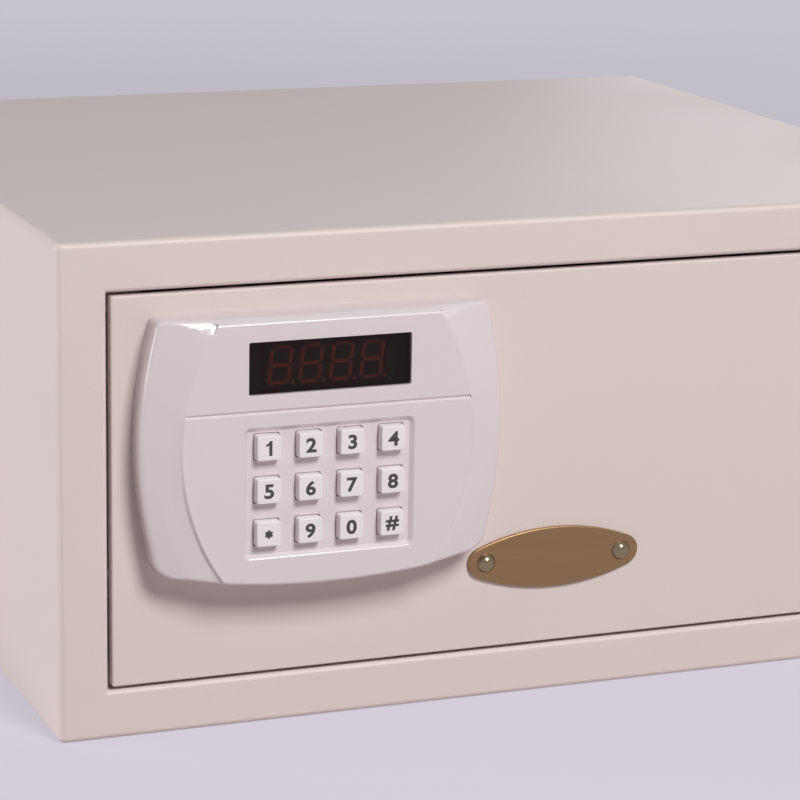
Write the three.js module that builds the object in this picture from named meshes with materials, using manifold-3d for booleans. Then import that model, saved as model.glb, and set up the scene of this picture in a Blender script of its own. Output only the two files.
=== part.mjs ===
// Electronic laptop safe with a keypad, two motor-driven bolts and a key override.
// Millimetres, +Z up. The front faces -Y, and the origin is at the centre of the case's underside.
// The door is closed at rest, its bolts are drawn back, and its hinge is on the right.

import * as THREE from 'three';
import { mergeVertices } from 'three/addons/utils/BufferGeometryUtils.js';
import Module from 'manifold-3d';

// Case: one folded sheet makes the walls, the front band and its lip; a welded liner carries on from the lip
const caseWidth = 420;
const caseDepth = 370;
const caseHeight = 200;
const wallSheet = 2;
const bandWidth = 20;
const lipDepth = 5;
const linerDepth = 36;
const cornerBend = 2.5;
const frontBend = 2.5;
const doorwayBend = 2;
const sharpCorner = 0.5;
const backInset = 2;
const backSheet = 2;
const weldGap = 0.15;
const anchorHole = 10;
const anchorSpan = 300;
const baseAnchorBack = 30;
const backAnchorRise = 130;
const matThickness = 3;
const matMargin = 4;
const matCorner = 8;
const matHole = 24;

// Door plate and its hinge, which turns on two pins inside the case
const doorThickness = 5;
const doorGap = 1.5;
const hingeGap = 2;
const doorEdge = 0.8;
const pivotInset = 25;
const pivotBehind = 4.2;
const hingePin = 5;
const hingeRunning = 0.2;
const bushWall = 0.8;
const bushFlangeDiameter = 11;
const blockWidth = 20;
const blockDepth = 11;
const blockHeight = 24;
const pinHead = 10;
const pinHeadHeight = 2;
const pinReach = 20;
const runGap = 0.3;

// Stops that the closed door rests on
const stopWidth = 14;
const stopInset = 2;
const stopSheet = 2;
const stopLeg = 16;
const stopHeight = 9;
const stopPadThickness = 2.6;
const stopPadHeight = 5;
const stopPadMargin = 1;

// Keypad housing, measured out from the door's face
const keypadInset = 83.5;
const keypadRise = 98.5;
const faceProud = 18;
const rimProud = 12;
const housingHalfWidth = 75.2;
const housingSideRadius = 180;
const housingTop = 50.5;
const housingBottom = 58;
const housingBottomRadius = 330;
const housingTopCorner = 4;
const housingBottomCorner = 9;
const housingWall = 2.5;
const faceHalfWidth = 60.3;
const faceSideRadius = 92;
const faceArcRise = -1;
const topBevel = 2.4;
const facetDrop = 5.9;
const facetUp = 0.5;
const facetOut = 0.14;
const grooveRise = 13.2;
const grooveWidth = 1.8;

// Display window and key recess, placed from the housing's middle
const windowWidth = 67;
const windowHeight = 20.8;
const windowSeat = 5.3;
const lensSink = 0.6;
const lensFlange = 1.8;
const lensFlangeThickness = 1.2;
const windowCorner = 0.6;
const moduleWidth = 50.3;
const moduleHeight = 19;
const recessWidth = 67.6;
const recessHeight = 49.6;
const recessRise = -19.4;
const recessDepth = 1.7;
const recessPadMargin = 3;

// Keys
const keySize = 10.5;
const keyPitchX = 17.2;
const keyPitchZ = 17.3;
const keyRise = -18.2;
const keyProud = 2;
const keyTravel = 1.2;
const keyRunning = 0.3;
const keyLip = 1.3;
const keyLipThickness = 1.2;
const keyStem = 5;
const keyStemLength = 2;
const keyCorner = 0.8;
const keyNames = [
  ['key_1', 'key_2', 'key_3', 'key_4'],
  ['key_5', 'key_6', 'key_7', 'key_8'],
  ['key_star', 'key_9', 'key_0', 'key_hash'],
];

// Keypad board, dome mat and ribbon
const boardThickness = 1.6;
const keypadBoardWidth = 96;
const keypadBoardHeight = 90;
const keypadBoardProud = 4.4;
const domeMatThickness = 1;
const domeMatMargin = 2;
const domeDiameter = 8;
const domeClear = 0.2;
const stakePost = 6;
const stakePin = 3;
const stakeHead = 0.8;
const stakeInset = 4;
const housingScrew = 3;
const housingScrewSpan = 128;
const housingScrewGrip = 8;
const housingScrewHole = 11;
const housingScrewHead = 6.6;
const housingScrewHeadHeight = 1.2;
const housingBoss = 9;
const ribbonWidth = 10;
const ribbonThickness = 1;
const ribbonX = 58.5;
const ribbonRise = -15;
const ribbonBend = 3;
const ribbonClear = 1.5;
const connectorInset = 1.7;
const connectorWidth = 6.8;
const connectorHeight = 16;
const connectorTall = 2.4;

// Cover plate over the key override
const overrideAside = 105;
const overrideBelow = 62;
const coverPlateLength = 76.4;
const coverPlateHeight = 25.4;
const coverPlateThickness = 1.5;
const coverPlateTip = 6.5;
const coverScrewSpan = 60.6;
const coverScrewHead = 8;
const coverScrewDome = 2.6;
const coverScrewShank = 3.2;

// Key override lock
const barrelDiameter = 19;
const barrelLength = 23;
const barrelFlange = 22.4;
const barrelFlangeThickness = 1.2;
const plugDiameter = 12;
const lockRunning = 0.3;
const plugTail = 6.5;
const keyway = 1.8;
const keywayHeight = 8;
const keywayDepth = 10;
const camThickness = 3;
const camReach = 19;
const camWidth = 8;
const camHub = 12;
const camStud = 4;
const camStudLength = 3.2;
const camNutAcross = 8.5;
const camNutThickness = 2.6;
const nutAcross = 26;
const nutThickness = 4;

// Boltwork
const boltDiameter = 16;
const boltPitch = 80;
const boltThrow = 15;
const boltTipInset = 1;
const boltBody = 45.5;
const boltTail = 8;
const boltTailLength = 48;
const boltCollar = 1.6;
const boltCollarLength = 1.4;
const boltChamfer = 1.5;
const boltRunning = 0.3;
const jambHoleClearance = 1.5;
const barThickness = 3;
const barClear = 1.5;
const barDepth = 22;
const barMargin = 12;
const armHeight = 8;
const armGap = 1;
const armClear = 0.8;
const tabHeight = 10;
const tabGap = 1.6;
const tabClear = 5;

// Rack and pinion
const gearModule = 1;
const pinionTeeth = 16;
const gearBacklash = 0.15;
const dedendum = 1.25 * gearModule;
const pressureSlope = Math.tan(Math.PI / 9);
const pinionInsetX = 110.5;
const rackInset = 5;
const rackFace = 6;
const rackBody = 8;
const rackOverrun = 12;
const pinionShaft = 5;
const pinionInset = 0.5;
const pinionHub = 9;
const pinionHubLength = 1.1;

// Gearbox and motor
const gearboxWidth = 28;
const gearboxHeight = 32;
const gearboxClear = 3;
const gearboxDepth = 18;
const gearboxFoot = 7;
const gearboxDrop = 14;
const gearboxCorner = 3;
const noseDiameter = 11;
const noseLength = 1.2;
const motorDiameter = 20;
const motorFlats = 15.4;
const motorLength = 25;
const motorEnd = 6;
const motorEndLength = 1.5;
const terminalSpan = 10;
const terminalWidth = 1.6;
const terminalThickness = 0.6;
const terminalLength = 4;

// Lock chassis and cover on the back of the door
const chassisSheet = 1.5;
const chassisEdge = 4.5;
const chassisFlange = 2;
const chassisAside = 28;
const chassisBottomMargin = 24;
const chassisTopMargin = 20;
const chassisFlangeDepth = 27;
const tailGuideInset = 77.5;
const tailGuideHeight = 15;
const coverDepth = 42;
const coverSheet = 1.2;
const coverMargin = 12;
const coverCorner = 6;
const coverBend = 2.5;
const coverSideGap = 0.4;
const coverPillar = 8;
const coverScrew = 3;
const coverScrewHeadSize = 7.5;
const coverScrewHeadHeight = 2.2;
const coverScrewGrip = 10;
const coverScrewHole = 12;
const screwAccess = 9;
const leftPillarInset = 18;
const rightPillarInset = 6;
const rightPillarDrop = 7;

// Control board and limit switch
const controlInset = 43;
const controlMargin = 2;
const controlClear = 9;
const controlWidth = 70;
const controlStandoff = 3.5;
const standoffDiameter = 6;
const standoffPin = 2.6;
const standoffInset = 4;
const partEdge = 9;
const chipSize = 14;
const chipTall = 2;
const socketLength = 16;
const socketWidth = 6;
const relayLength = 14;
const relayWidth = 9;
const relayTall = 8;
const capacitorDiameter = 8;
const capacitorTall = 9;
const switchLength = 20;
const switchWidth = 6.4;
const switchHeight = 10;
const switchSetback = 6;
const switchRise = 6;
const leverThickness = 0.8;
const leverWidth = 2;

// Battery box for four AA cells
const cellDiameter = 14.5;
const cellLength = 49.5;
const cellNub = 5.5;
const cellNubHeight = 1;
const cellEdge = 0.8;
const cellPitch = 15.2;
const cellCount = 4;
const batteryRise = 21;
const trayWall = 1.5;
const trayLip = 3;
const traySideClear = 1;
const trayEndClear = 1.5;
const ribThickness = 0.4;
const ribLength = 36;
const lidThickness = 1.6;
const lidLap = 3;
const rimThickness = 1.2;
const rimInset = 4;
const gripCount = 4;
const gripPitch = 3;
const gripLength = 16;
const gripWidth = 1.2;
const gripHeight = 0.6;
const gripEdge = 8;

// Fineness of round shapes
const roundSteps = 18;
const smallSteps = 10;
const cornerSteps = 2;
const overshoot = 1;
const fuse = 0.5;

// Places worked out from the sizes above
const frontY = -caseDepth / 2;
const doorwayRight = caseWidth / 2 - bandWidth;
const doorLeft = -doorwayRight + doorGap;
const doorRight = doorwayRight - hingeGap;
const doorBottom = bandWidth + doorGap;
const doorTop = caseHeight - bandWidth - doorGap;
const pivotX = doorRight - pivotInset;
const bushFlange = doorGap - runGap;
const pivotDepth = doorThickness + pivotBehind;
const windowRise = housingTop - housingWall - lensFlange - windowSeat - windowHeight / 2;
const keypadX = doorLeft + keypadInset;
const keypadZ = doorBottom + keypadRise;
const overrideX = keypadX + overrideAside;
const overrideZ = keypadZ - overrideBelow;
const boltworkZ = caseHeight / 2;
const pinionX = doorLeft + pinionInsetX;
const chassisBack = doorThickness + chassisSheet;
const barFront = chassisBack + barClear;
const boltDepth = barFront + barDepth / 2;
const rackFront = barFront + rackInset;
const gearboxFront = rackFront + rackFace + gearboxClear;
const coverBack = doorThickness + coverDepth;
const coverInner = coverBack - coverSheet;
const pitchRadius = gearModule * pinionTeeth / 2;
const pinionZ = boltworkZ + pitchRadius;
const boltTip = doorLeft + boltTipInset;
const barLeft = boltTip + boltBody;
const barRight = barLeft + barThickness;
const nutRadius = nutAcross / Math.sqrt(3);
const armBottom = overrideZ - nutRadius - armGap - armHeight;
const camFront = runGap + barrelLength + runGap;
const trayFront = coverInner - trayLip / 2 - cellDiameter - 2 * trayWall;
const keyFloorInner = faceProud - recessDepth - housingWall;
const connectorRight = keypadBoardWidth / 2 - connectorInset;
const doorwayEdge = caseHeight / 2 - bandWidth;
const stopLeft = -doorwayRight + stopInset;
const chassisLeft = doorLeft + chassisEdge;
const chassisRight = overrideX + chassisAside;
const chassisLow = bandWidth + chassisBottomMargin;
const chassisHigh = caseHeight - bandWidth - chassisTopMargin;
const tailGuideX = doorLeft + tailGuideInset;
const controlX = chassisRight - controlInset;
const controlTop = chassisHigh - controlMargin;
const controlBottom = overrideZ + nutRadius + controlClear;
const controlHeight = controlTop - controlBottom;
const controlZ = (controlTop + controlBottom) / 2;
const batteryX = controlX;
const batteryZ = boltworkZ + batteryRise;
const coverLeft = chassisLeft - coverSideGap - coverSheet;
const coverRight = chassisRight + coverSideGap + coverSheet;
const coverBottom = armBottom - armClear - coverSheet;
const coverTop = caseHeight - bandWidth - coverMargin;

const wasm = await Module();
wasm.setup();

// Solids and joins

function toSolid(geometry) {
  const bare = geometry.clone();
  bare.deleteAttribute('normal');
  bare.deleteAttribute('uv');
  const merged = mergeVertices(bare);
  return new wasm.Manifold(new wasm.Mesh({
    numProp: 3,
    vertProperties: new Float32Array(merged.attributes.position.array),
    triVerts: new Uint32Array(merged.index.array),
  }));
}

function toGeometry(solid) {
  const mesh = solid.getMesh();
  const geometry = new THREE.BufferGeometry();
  geometry.setAttribute('position', new THREE.BufferAttribute(mesh.vertProperties, 3));
  geometry.setIndex(new THREE.BufferAttribute(mesh.triVerts, 1));
  geometry.computeVertexNormals();
  return geometry;
}

function joined(solids) {
  return solids.reduce((whole, solid) => whole.add(solid));
}

function cut(solid, tools) {
  return tools.reduce((rest, tool) => rest.subtract(tool), solid);
}

// Outlines. Each is a list of [u, v] points, counter-clockwise.

function circle(u, v, radius, steps = smallSteps) {
  return Array.from({ length: steps }, (_, i) => {
    const angle = 2 * Math.PI * (i + 0.5) / steps;
    return [u + radius * Math.cos(angle), v + radius * Math.sin(angle)];
  });
}

function rectangle(u, v, width, height) {
  const a = width / 2;
  const b = height / 2;
  return [[u - a, v - b], [u + a, v - b], [u + a, v + b], [u - a, v + b]];
}

function roundedRectangle(u, v, width, height, radius, steps = cornerSteps) {
  const a = width / 2 - radius;
  const b = height / 2 - radius;
  const corners = [[a, b], [-a, b], [-a, -b], [a, -b]];
  return corners.flatMap(([cu, cv], quarter) => (
    Array.from({ length: steps + 1 }, (_, i) => {
      const angle = Math.PI / 2 * (quarter + i / steps);
      return [u + cu + radius * Math.cos(angle), v + cv + radius * Math.sin(angle)];
    })
  ));
}

// Local x, y and z of an extrusion along each axis: its outline is (y, z), (x, z) or (x, y)
const extrudeFrames = {
  x: new THREE.Matrix4().makeBasis(
    new THREE.Vector3(0, 1, 0), new THREE.Vector3(0, 0, 1), new THREE.Vector3(1, 0, 0)),
  y: new THREE.Matrix4().makeBasis(
    new THREE.Vector3(1, 0, 0), new THREE.Vector3(0, 0, 1), new THREE.Vector3(0, -1, 0)),
  z: new THREE.Matrix4(),
};

function extrude(axis, outline, from, to) {
  const shape = new THREE.Shape(outline.map(([u, v]) => new THREE.Vector2(u, v)));
  const geometry = new THREE.ExtrudeGeometry(shape, { depth: to - from, bevelEnabled: false });
  geometry.translate(0, 0, axis === 'y' ? -to : from);
  geometry.applyMatrix4(extrudeFrames[axis]);
  return toSolid(geometry);
}

function rod(axis, u, v, diameter, from, to, steps = smallSteps) {
  return extrude(axis, circle(u, v, diameter / 2, steps), from, to);
}

// A rod that runs past both faces of what it cuts
function hole(axis, u, v, diameter, from, to, steps = smallSteps) {
  return rod(axis, u, v, diameter, from - overshoot, to + overshoot, steps);
}

function block(x0, x1, y0, y1, z0, z1) {
  const geometry = new THREE.BoxGeometry(x1 - x0, y1 - y0, z1 - z0);
  geometry.translate((x0 + x1) / 2, (y0 + y1) / 2, (z0 + z1) / 2);
  return toSolid(geometry);
}

// A solid of revolution about the local Y axis; the profile lists [radius, y] from axis to axis
function turned(profile, steps = smallSteps) {
  const points = profile.map(([radius, y]) => new THREE.Vector2(radius, y));
  return toSolid(new THREE.LatheGeometry(points, steps));
}

// A pan-head screw along Y, from its tip to the underside of its head and on to the head's top
function panScrew(shank, head, headHeight, tip, seat) {
  return turned([
    [0, tip], [shank / 3, tip], [shank / 2, tip + shank / 5], [shank / 2, seat],
    [head / 2, seat], [head / 2, seat + headHeight * 0.4],
    [head * 0.4, seat + headHeight * 0.85], [0, seat + headHeight],
  ]);
}

function hexNut(across, bore, from, to) {
  return rod('y', 0, 0, 2 * across / Math.sqrt(3), from, to, 6)
    .subtract(hole('y', 0, 0, bore, from, to, roundSteps));
}

function signedVolume(positions, index) {
  const corner = (i) => new THREE.Vector3().fromArray(positions, 3 * index[i]);
  let total = 0;
  for (let i = 0; i < index.length; i += 3) {
    total += corner(i).dot(corner(i + 1).cross(corner(i + 2)));
  }
  return total;
}

// A solid through rings of as many points each: [[x, y, z], ...] per ring.
// The ends are capped, or the last ring joins the first.
function lofted(rings, isLoop = false) {
  const count = rings[0].length;
  const positions = rings.flat(2);
  const index = [];
  const last = isLoop ? rings.length : rings.length - 1;
  for (let r = 0; r < last; r += 1) {
    for (let i = 0; i < count; i += 1) {
      const a = r * count + i;
      const b = r * count + (i + 1) % count;
      const c = ((r + 1) % rings.length) * count + (i + 1) % count;
      const d = ((r + 1) % rings.length) * count + i;
      index.push(a, b, c, a, c, d);
    }
  }
  if (!isLoop) {
    const cap = (ring, start, isFlipped) => {
      const [p, q, s] = [0, Math.floor(count / 3), Math.floor(2 * count / 3)]
        .map((i) => new THREE.Vector3().fromArray(ring[i]));
      const normal = q.clone().sub(p).cross(s.clone().sub(p)).normalize();
      const turn = new THREE.Quaternion().setFromUnitVectors(normal, new THREE.Vector3(0, 0, 1));
      const flat = ring.map((point) => {
        const v = new THREE.Vector3().fromArray(point).applyQuaternion(turn);
        return new THREE.Vector2(v.x, v.y);
      });
      for (const [i, j, k] of THREE.ShapeUtils.triangulateShape(flat, [])) {
        const face = isFlipped ? [i, k, j] : [i, j, k];
        index.push(...face.map((corner) => start + corner));
      }
    };
    cap(rings[0], 0, true);
    cap(rings[rings.length - 1], (rings.length - 1) * count, false);
  }
  if (signedVolume(positions, index) < 0) {
    index.reverse();
  }
  const geometry = new THREE.BufferGeometry();
  geometry.setAttribute('position', new THREE.Float32BufferAttribute(positions, 3));
  geometry.setIndex(index);
  return toSolid(geometry);
}

function ringAlongY(outline, y) {
  return outline.map(([u, v]) => [u, y, v]);
}

// Meshes and finishes

const finishes = {
  casePaint: { color: 0xd8cac5, roughness: 0.55, metalness: 0.1 },
  housingPlastic: { color: 0xdcd4d4, roughness: 0.45, metalness: 0 },
  keyPlastic: { color: 0xe6e0e2, roughness: 0.4, metalness: 0 },
  smokedLens: { color: 0x2c1c1b, roughness: 0.15, metalness: 0 },
  darkPlastic: { color: 0x26262a, roughness: 0.5, metalness: 0 },
  silicone: { color: 0x8f9296, roughness: 0.8, metalness: 0 },
  circuitBoard: { color: 0x1f5a36, roughness: 0.5, metalness: 0.1 },
  brass: { color: 0x94714c, roughness: 0.35, metalness: 0.9 },
  polishedSteel: { color: 0xc8c5bd, roughness: 0.15, metalness: 1 },
  zincSteel: { color: 0xb2b4b8, roughness: 0.4, metalness: 0.9 },
  blackRubber: { color: 0x1d1d1f, roughness: 0.9, metalness: 0 },
  felt: { color: 0x4a4b50, roughness: 1, metalness: 0 },
  ribbonGrey: { color: 0x9a9ca0, roughness: 0.6, metalness: 0 },
  cellWrap: { color: 0x3a4a6b, roughness: 0.4, metalness: 0.2 },
  bronze: { color: 0x9c7642, roughness: 0.4, metalness: 0.9 },
};

function piece(name, solid, finish, place = [0, 0, 0]) {
  const mesh = new THREE.Mesh(toGeometry(solid), new THREE.MeshStandardMaterial(finishes[finish]));
  mesh.name = name;
  mesh.position.set(...place);
  return mesh;
}

function group(place, members) {
  const assembly = new THREE.Group();
  assembly.position.set(...place);
  assembly.add(...members);
  return assembly;
}

// Case

function caseOutline(inset) {
  const radius = Math.max(cornerBend - inset, sharpCorner);
  return roundedRectangle(0, caseHeight / 2, caseWidth - 2 * inset, caseHeight - 2 * inset, radius);
}

function bend(radius, steps, toPoint) {
  return Array.from({ length: steps + 1 }, (_, i) => toPoint(radius, Math.PI / 2 * i / steps));
}

function caseWrap() {
  const stations = [
    [0, caseDepth / 2],
    ...bend(frontBend, 3, (r, a) => [r - r * Math.cos(a), frontY + r - r * Math.sin(a)]),
    ...bend(doorwayBend, 3, (r, a) => [bandWidth - r + r * Math.sin(a), frontY + r - r * Math.cos(a)]),
    [bandWidth, frontY + lipDepth],
    [bandWidth - wallSheet, frontY + lipDepth],
    [bandWidth - wallSheet, frontY + wallSheet],
    [wallSheet, frontY + wallSheet],
    [wallSheet, caseDepth / 2],
  ];
  const sheet = lofted(stations.map(([inset, y]) => ringAlongY(caseOutline(inset), y)), true);
  return cut(sheet, anchorPlaces().map((x) => hole('z', x, baseAnchorBack, anchorHole, 0, wallSheet)));
}

// The doorway's liner, with the holes for the bolts and for the hinge pins
function doorwayLiner() {
  const front = frontY + lipDepth + weldGap;
  const back = frontY + linerDepth;
  const stations = [
    [bandWidth, front], [bandWidth, back], [bandWidth - wallSheet, back], [bandWidth - wallSheet, front],
  ];
  const liner = lofted(stations.map(([inset, y]) => ringAlongY(caseOutline(inset), y)), true);
  const jambHole = boltDiameter + 2 * jambHoleClearance;
  const boltHoles = boltHeights().map((z) => (
    hole('x', frontY + boltDepth, z, jambHole, -doorwayRight - wallSheet, -doorwayRight, roundSteps)));
  const pinHoles = [bandWidth - wallSheet, caseHeight - bandWidth].map((z) => (
    hole('z', pivotX, frontY + pivotDepth, hingePin + 2 * hingeRunning, z, z + wallSheet)));
  return cut(liner, [...boltHoles, ...pinHoles]);
}

function anchorPlaces() {
  return [-anchorSpan / 2, anchorSpan / 2];
}

function boltHeights() {
  return [boltworkZ - boltPitch / 2, boltworkZ + boltPitch / 2];
}

function backPanel() {
  const inset = wallSheet + weldGap;
  const rear = caseDepth / 2 - backInset;
  const panel = extrude('y', caseOutline(inset), rear - backSheet, rear);
  return cut(panel, anchorPlaces().map((x) => (
    hole('y', x, backAnchorRise, anchorHole, rear - backSheet, rear))));
}

function floorMat() {
  const front = frontY + linerDepth + matMargin;
  const back = caseDepth / 2 - backInset - backSheet - matMargin;
  const width = caseWidth - 2 * wallSheet - 2 * matMargin;
  const outline = roundedRectangle(0, (front + back) / 2, width, back - front, matCorner);
  const mat = extrude('z', outline, wallSheet, wallSheet + matThickness);
  return cut(mat, anchorPlaces().map((x) => (
    hole('z', x, baseAnchorBack, matHole, wallSheet, wallSheet + matThickness))));
}

// side is 1 at the top and -1 at the bottom; z is measured from mid-height towards that side
function fromMiddle(side, low, high) {
  const a = caseHeight / 2 + side * low;
  const b = caseHeight / 2 + side * high;
  return [Math.min(a, b), Math.max(a, b)];
}

function hingePinPiece(side) {
  const [pinLow, pinHigh] = fromMiddle(side, doorwayEdge - pinReach, doorwayEdge + wallSheet + fuse);
  const [headLow, headHigh] = fromMiddle(
    side, doorwayEdge + wallSheet, doorwayEdge + wallSheet + pinHeadHeight);
  const y = frontY + pivotDepth;
  return joined([
    rod('z', pivotX, y, hingePin, pinLow, pinHigh, roundSteps),
    rod('z', pivotX, y, pinHead, headLow, headHigh, roundSteps),
  ]);
}

function doorStop(side) {
  const front = frontY + doorThickness + runGap + stopPadThickness;
  const [footLow, footHigh] = fromMiddle(side, doorwayEdge - stopSheet, doorwayEdge);
  const [faceLow, faceHigh] = fromMiddle(side, doorwayEdge - stopHeight, doorwayEdge);
  return joined([
    block(stopLeft, stopLeft + stopWidth, front, front + stopLeg, footLow, footHigh),
    block(stopLeft, stopLeft + stopWidth, front, front + stopSheet, faceLow, faceHigh),
  ]);
}

function stopPad(side) {
  const front = frontY + doorThickness + runGap;
  const inner = doorwayEdge - stopHeight + stopPadMargin;
  const [low, high] = fromMiddle(side, inner, inner + stopPadHeight);
  const outline = roundedRectangle(stopLeft + stopWidth / 2, (low + high) / 2,
    stopWidth - 2 * stopPadMargin, high - low, 1);
  return extrude('y', outline, front, front + stopPadThickness);
}

function caseBody() {
  return [
    piece('case_wrap', caseWrap(), 'casePaint'),
    piece('doorway_liner', doorwayLiner(), 'casePaint'),
    piece('back_panel', backPanel(), 'casePaint'),
    piece('floor_mat', floorMat(), 'felt'),
    piece('hinge_pin_top', hingePinPiece(1), 'zincSteel'),
    piece('hinge_pin_bottom', hingePinPiece(-1), 'zincSteel'),
    piece('door_stop_top', doorStop(1), 'casePaint'),
    piece('door_stop_bottom', doorStop(-1), 'casePaint'),
    piece('stop_pad_top', stopPad(1), 'blackRubber'),
    piece('stop_pad_bottom', stopPad(-1), 'blackRubber'),
  ];
}

// Door, with y measured back from its face

function doorPlate() {
  const width = doorRight - doorLeft;
  const height = doorTop - doorBottom;
  const outline = (inset) => roundedRectangle((doorLeft + doorRight) / 2, (doorTop + doorBottom) / 2,
    width - 2 * inset, height - 2 * inset, sharpCorner);
  const rings = [
    ringAlongY(outline(0), doorThickness),
    ...bend(doorEdge, 2, (r, a) => ringAlongY(outline(r - r * Math.cos(a)), r - r * Math.sin(a))),
  ];
  return cut(lofted(rings), [
    ...housingScrewPlaces().map(([x, z]) => (
      hole('y', x, z, housingScrew + 2 * runGap, 0, doorThickness))),
    ribbonSlot(0, doorThickness),
    hole('y', overrideX, overrideZ, barrelDiameter + 2 * weldGap, 0, doorThickness, roundSteps),
    rod('y', overrideX, overrideZ, barrelFlange + 2 * runGap,
      -overshoot, runGap + barrelFlangeThickness, roundSteps),
    ...coverPlateScrewPlaces().map(([x, z]) => (
      hole('y', x, z, coverScrewShank + 2 * weldGap, 0, doorThickness))),
  ]);
}

function hingeBlock(side) {
  const outer = doorwayEdge - runGap - bushFlange;
  const [low, high] = fromMiddle(side, outer - blockHeight, outer);
  const bore = hingePin + 2 * hingeRunning + 2 * bushWall + 2 * weldGap;
  const outline = roundedRectangle(pivotX, doorThickness + blockDepth / 2, blockWidth, blockDepth, 1);
  return extrude('z', outline, low, high).subtract(
    hole('z', pivotX, pivotDepth, bore, low, high, roundSteps));
}

function hingeBush(side) {
  const outer = doorwayEdge - runGap;
  const sleeve = hingePin + 2 * hingeRunning + 2 * bushWall;
  const [sleeveLow, sleeveHigh] = fromMiddle(side, outer - blockHeight, outer);
  const [flangeLow, flangeHigh] = fromMiddle(side, outer - bushFlange, outer);
  return joined([
    rod('z', pivotX, pivotDepth, sleeve, sleeveLow, sleeveHigh, roundSteps),
    rod('z', pivotX, pivotDepth, bushFlangeDiameter, flangeLow, flangeHigh, roundSteps),
  ]).subtract(hole('z', pivotX, pivotDepth, hingePin + 2 * hingeRunning,
    sleeveLow, sleeveHigh, roundSteps));
}

// Keypad. x and z run from the housing's middle, and the front is at negative y.

function sideX(halfWidth, radius, rise) {
  return halfWidth - (radius - Math.sqrt(radius * radius - rise * rise));
}

// The outline has bowed sides, a bowed bottom and rounded corners
function housingOutline(inset) {
  const bottomSteps = 3;
  const sideSteps = 8;
  const half = housingHalfWidth - inset;
  const top = housingTop - inset;
  const bottom = -housingBottom + inset;
  const topCorner = Math.max(housingTopCorner - inset, 1);
  const bottomCorner = Math.max(housingBottomCorner - inset, 1);
  const bottomAt = (x) => bottom - sideX(0, housingBottomRadius, x);
  const cornerX = sideX(half, housingSideRadius, bottom);
  const bottomRow = Array.from({ length: bottomSteps + 1 }, (_, i) => {
    const x = (cornerX - bottomCorner) * i / bottomSteps;
    return [x, bottomAt(x)];
  });
  const sideFrom = bottomAt(cornerX) + bottomCorner;
  const sideTo = top - topCorner;
  const sideRow = Array.from({ length: sideSteps + 1 }, (_, i) => {
    const z = sideFrom + (sideTo - sideFrom) * i / sideSteps;
    return [sideX(half, housingSideRadius, z), z];
  });
  const round = (from, corner, to) => [0.3, 0.7].map((t) => (
    [0, 1].map((k) => (1 - t) ** 2 * from[k] + 2 * t * (1 - t) * corner[k] + t ** 2 * to[k])));
  const lowerFrom = bottomRow[bottomSteps];
  const upperFrom = sideRow[sideSteps];
  const upperTo = [sideX(half, housingSideRadius, top) - topCorner, top];
  const right = [
    ...bottomRow,
    ...round(lowerFrom, [sideRow[0][0], lowerFrom[1]], sideRow[0]),
    ...sideRow,
    ...round(upperFrom, [upperFrom[0], top], upperTo),
    upperTo,
  ];
  const left = right.slice(1).reverse().map(([x, z]) => [-x, z]);
  return [...right, ...left];
}

// The flat face's half width at heights from below the housing to above it
function faceEdgeRows() {
  const rows = 12;
  const from = -housingBottom - overshoot;
  const to = housingTop + overshoot;
  return Array.from({ length: rows + 1 }, (_, i) => {
    const z = from + (to - from) * i / rows;
    return [sideX(faceHalfWidth, faceSideRadius, z - faceArcRise), z];
  });
}

// The crowned front: a flat face between two bowed edges, and wings that slope back from them
function crown(drop, inset, back) {
  const reach = housingHalfWidth + housingTopCorner;
  const rings = faceEdgeRows().map(([edge, z]) => {
    const rim = sideX(housingHalfWidth, housingSideRadius, z);
    const slope = (faceProud - rimProud) / (rim - edge);
    const face = drop - faceProud;
    const wing = face + slope * (reach - edge);
    return [
      [-reach, overshoot, z], [-reach, wing, z], [-edge, face, z],
      [edge, face, z], [reach, wing, z], [reach, overshoot, z],
    ];
  });
  const outline = extrude('y', housingOutline(inset), -faceProud - overshoot, back);
  const front = drop - faceProud;
  const top = housingTop - inset;
  const bevel = extrude('x', [
    [front - overshoot, top - topBevel - overshoot],
    [front - overshoot, top + overshoot],
    [front + topBevel + overshoot, top + overshoot],
  ], -reach, reach);
  return lofted(rings).intersect(outline).subtract(bevel);
}

// What is cut off both wings at the top: a facet tilted up and out, beside the flat face
function cornerFacets() {
  const front = -faceProud;
  const reach = housingHalfWidth + housingTopCorner;
  const startZ = housingTop - facetDrop;
  const startX = sideX(faceHalfWidth, faceSideRadius, startZ - faceArcRise);
  const high = housingTop + overshoot;
  const ring = (side, x) => {
    const sink = facetOut * (x - startX);
    return [
      [side * x, front - overshoot, startZ - (sink + overshoot) / facetUp],
      [side * x, front + sink + facetUp * (high - startZ), high],
      [side * x, front - overshoot, high],
    ];
  };
  const wedge = (side) => lofted([ring(side, startX - facetDrop * 2), ring(side, reach)]);
  const edges = faceEdgeRows();
  const face = [...edges, ...edges.map(([x, z]) => [-x, z]).reverse()];
  return joined([wedge(1), wedge(-1)])
    .subtract(extrude('y', face, front - 2 * overshoot, front + facetDrop));
}

function recessFrustum() {
  const spread = 2 * (recessDepth + overshoot);
  const floor = roundedRectangle(0, recessRise, recessWidth, recessHeight, 1);
  const mouth = roundedRectangle(0, recessRise, recessWidth + spread, recessHeight + spread, 2);
  return lofted([
    ringAlongY(floor, recessDepth - faceProud),
    ringAlongY(mouth, -overshoot - faceProud),
  ]);
}

function keyPlaces() {
  return keyNames.flatMap((row, r) => row.map((name, c) => ({
    name,
    x: (c - (row.length - 1) / 2) * keyPitchX,
    z: keyRise + ((keyNames.length - 1) / 2 - r) * keyPitchZ,
  })));
}

function housingScrewPlaces() {
  return [-1, 1].map((side) => [keypadX + side * housingScrewSpan / 2, keypadZ]);
}

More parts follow.
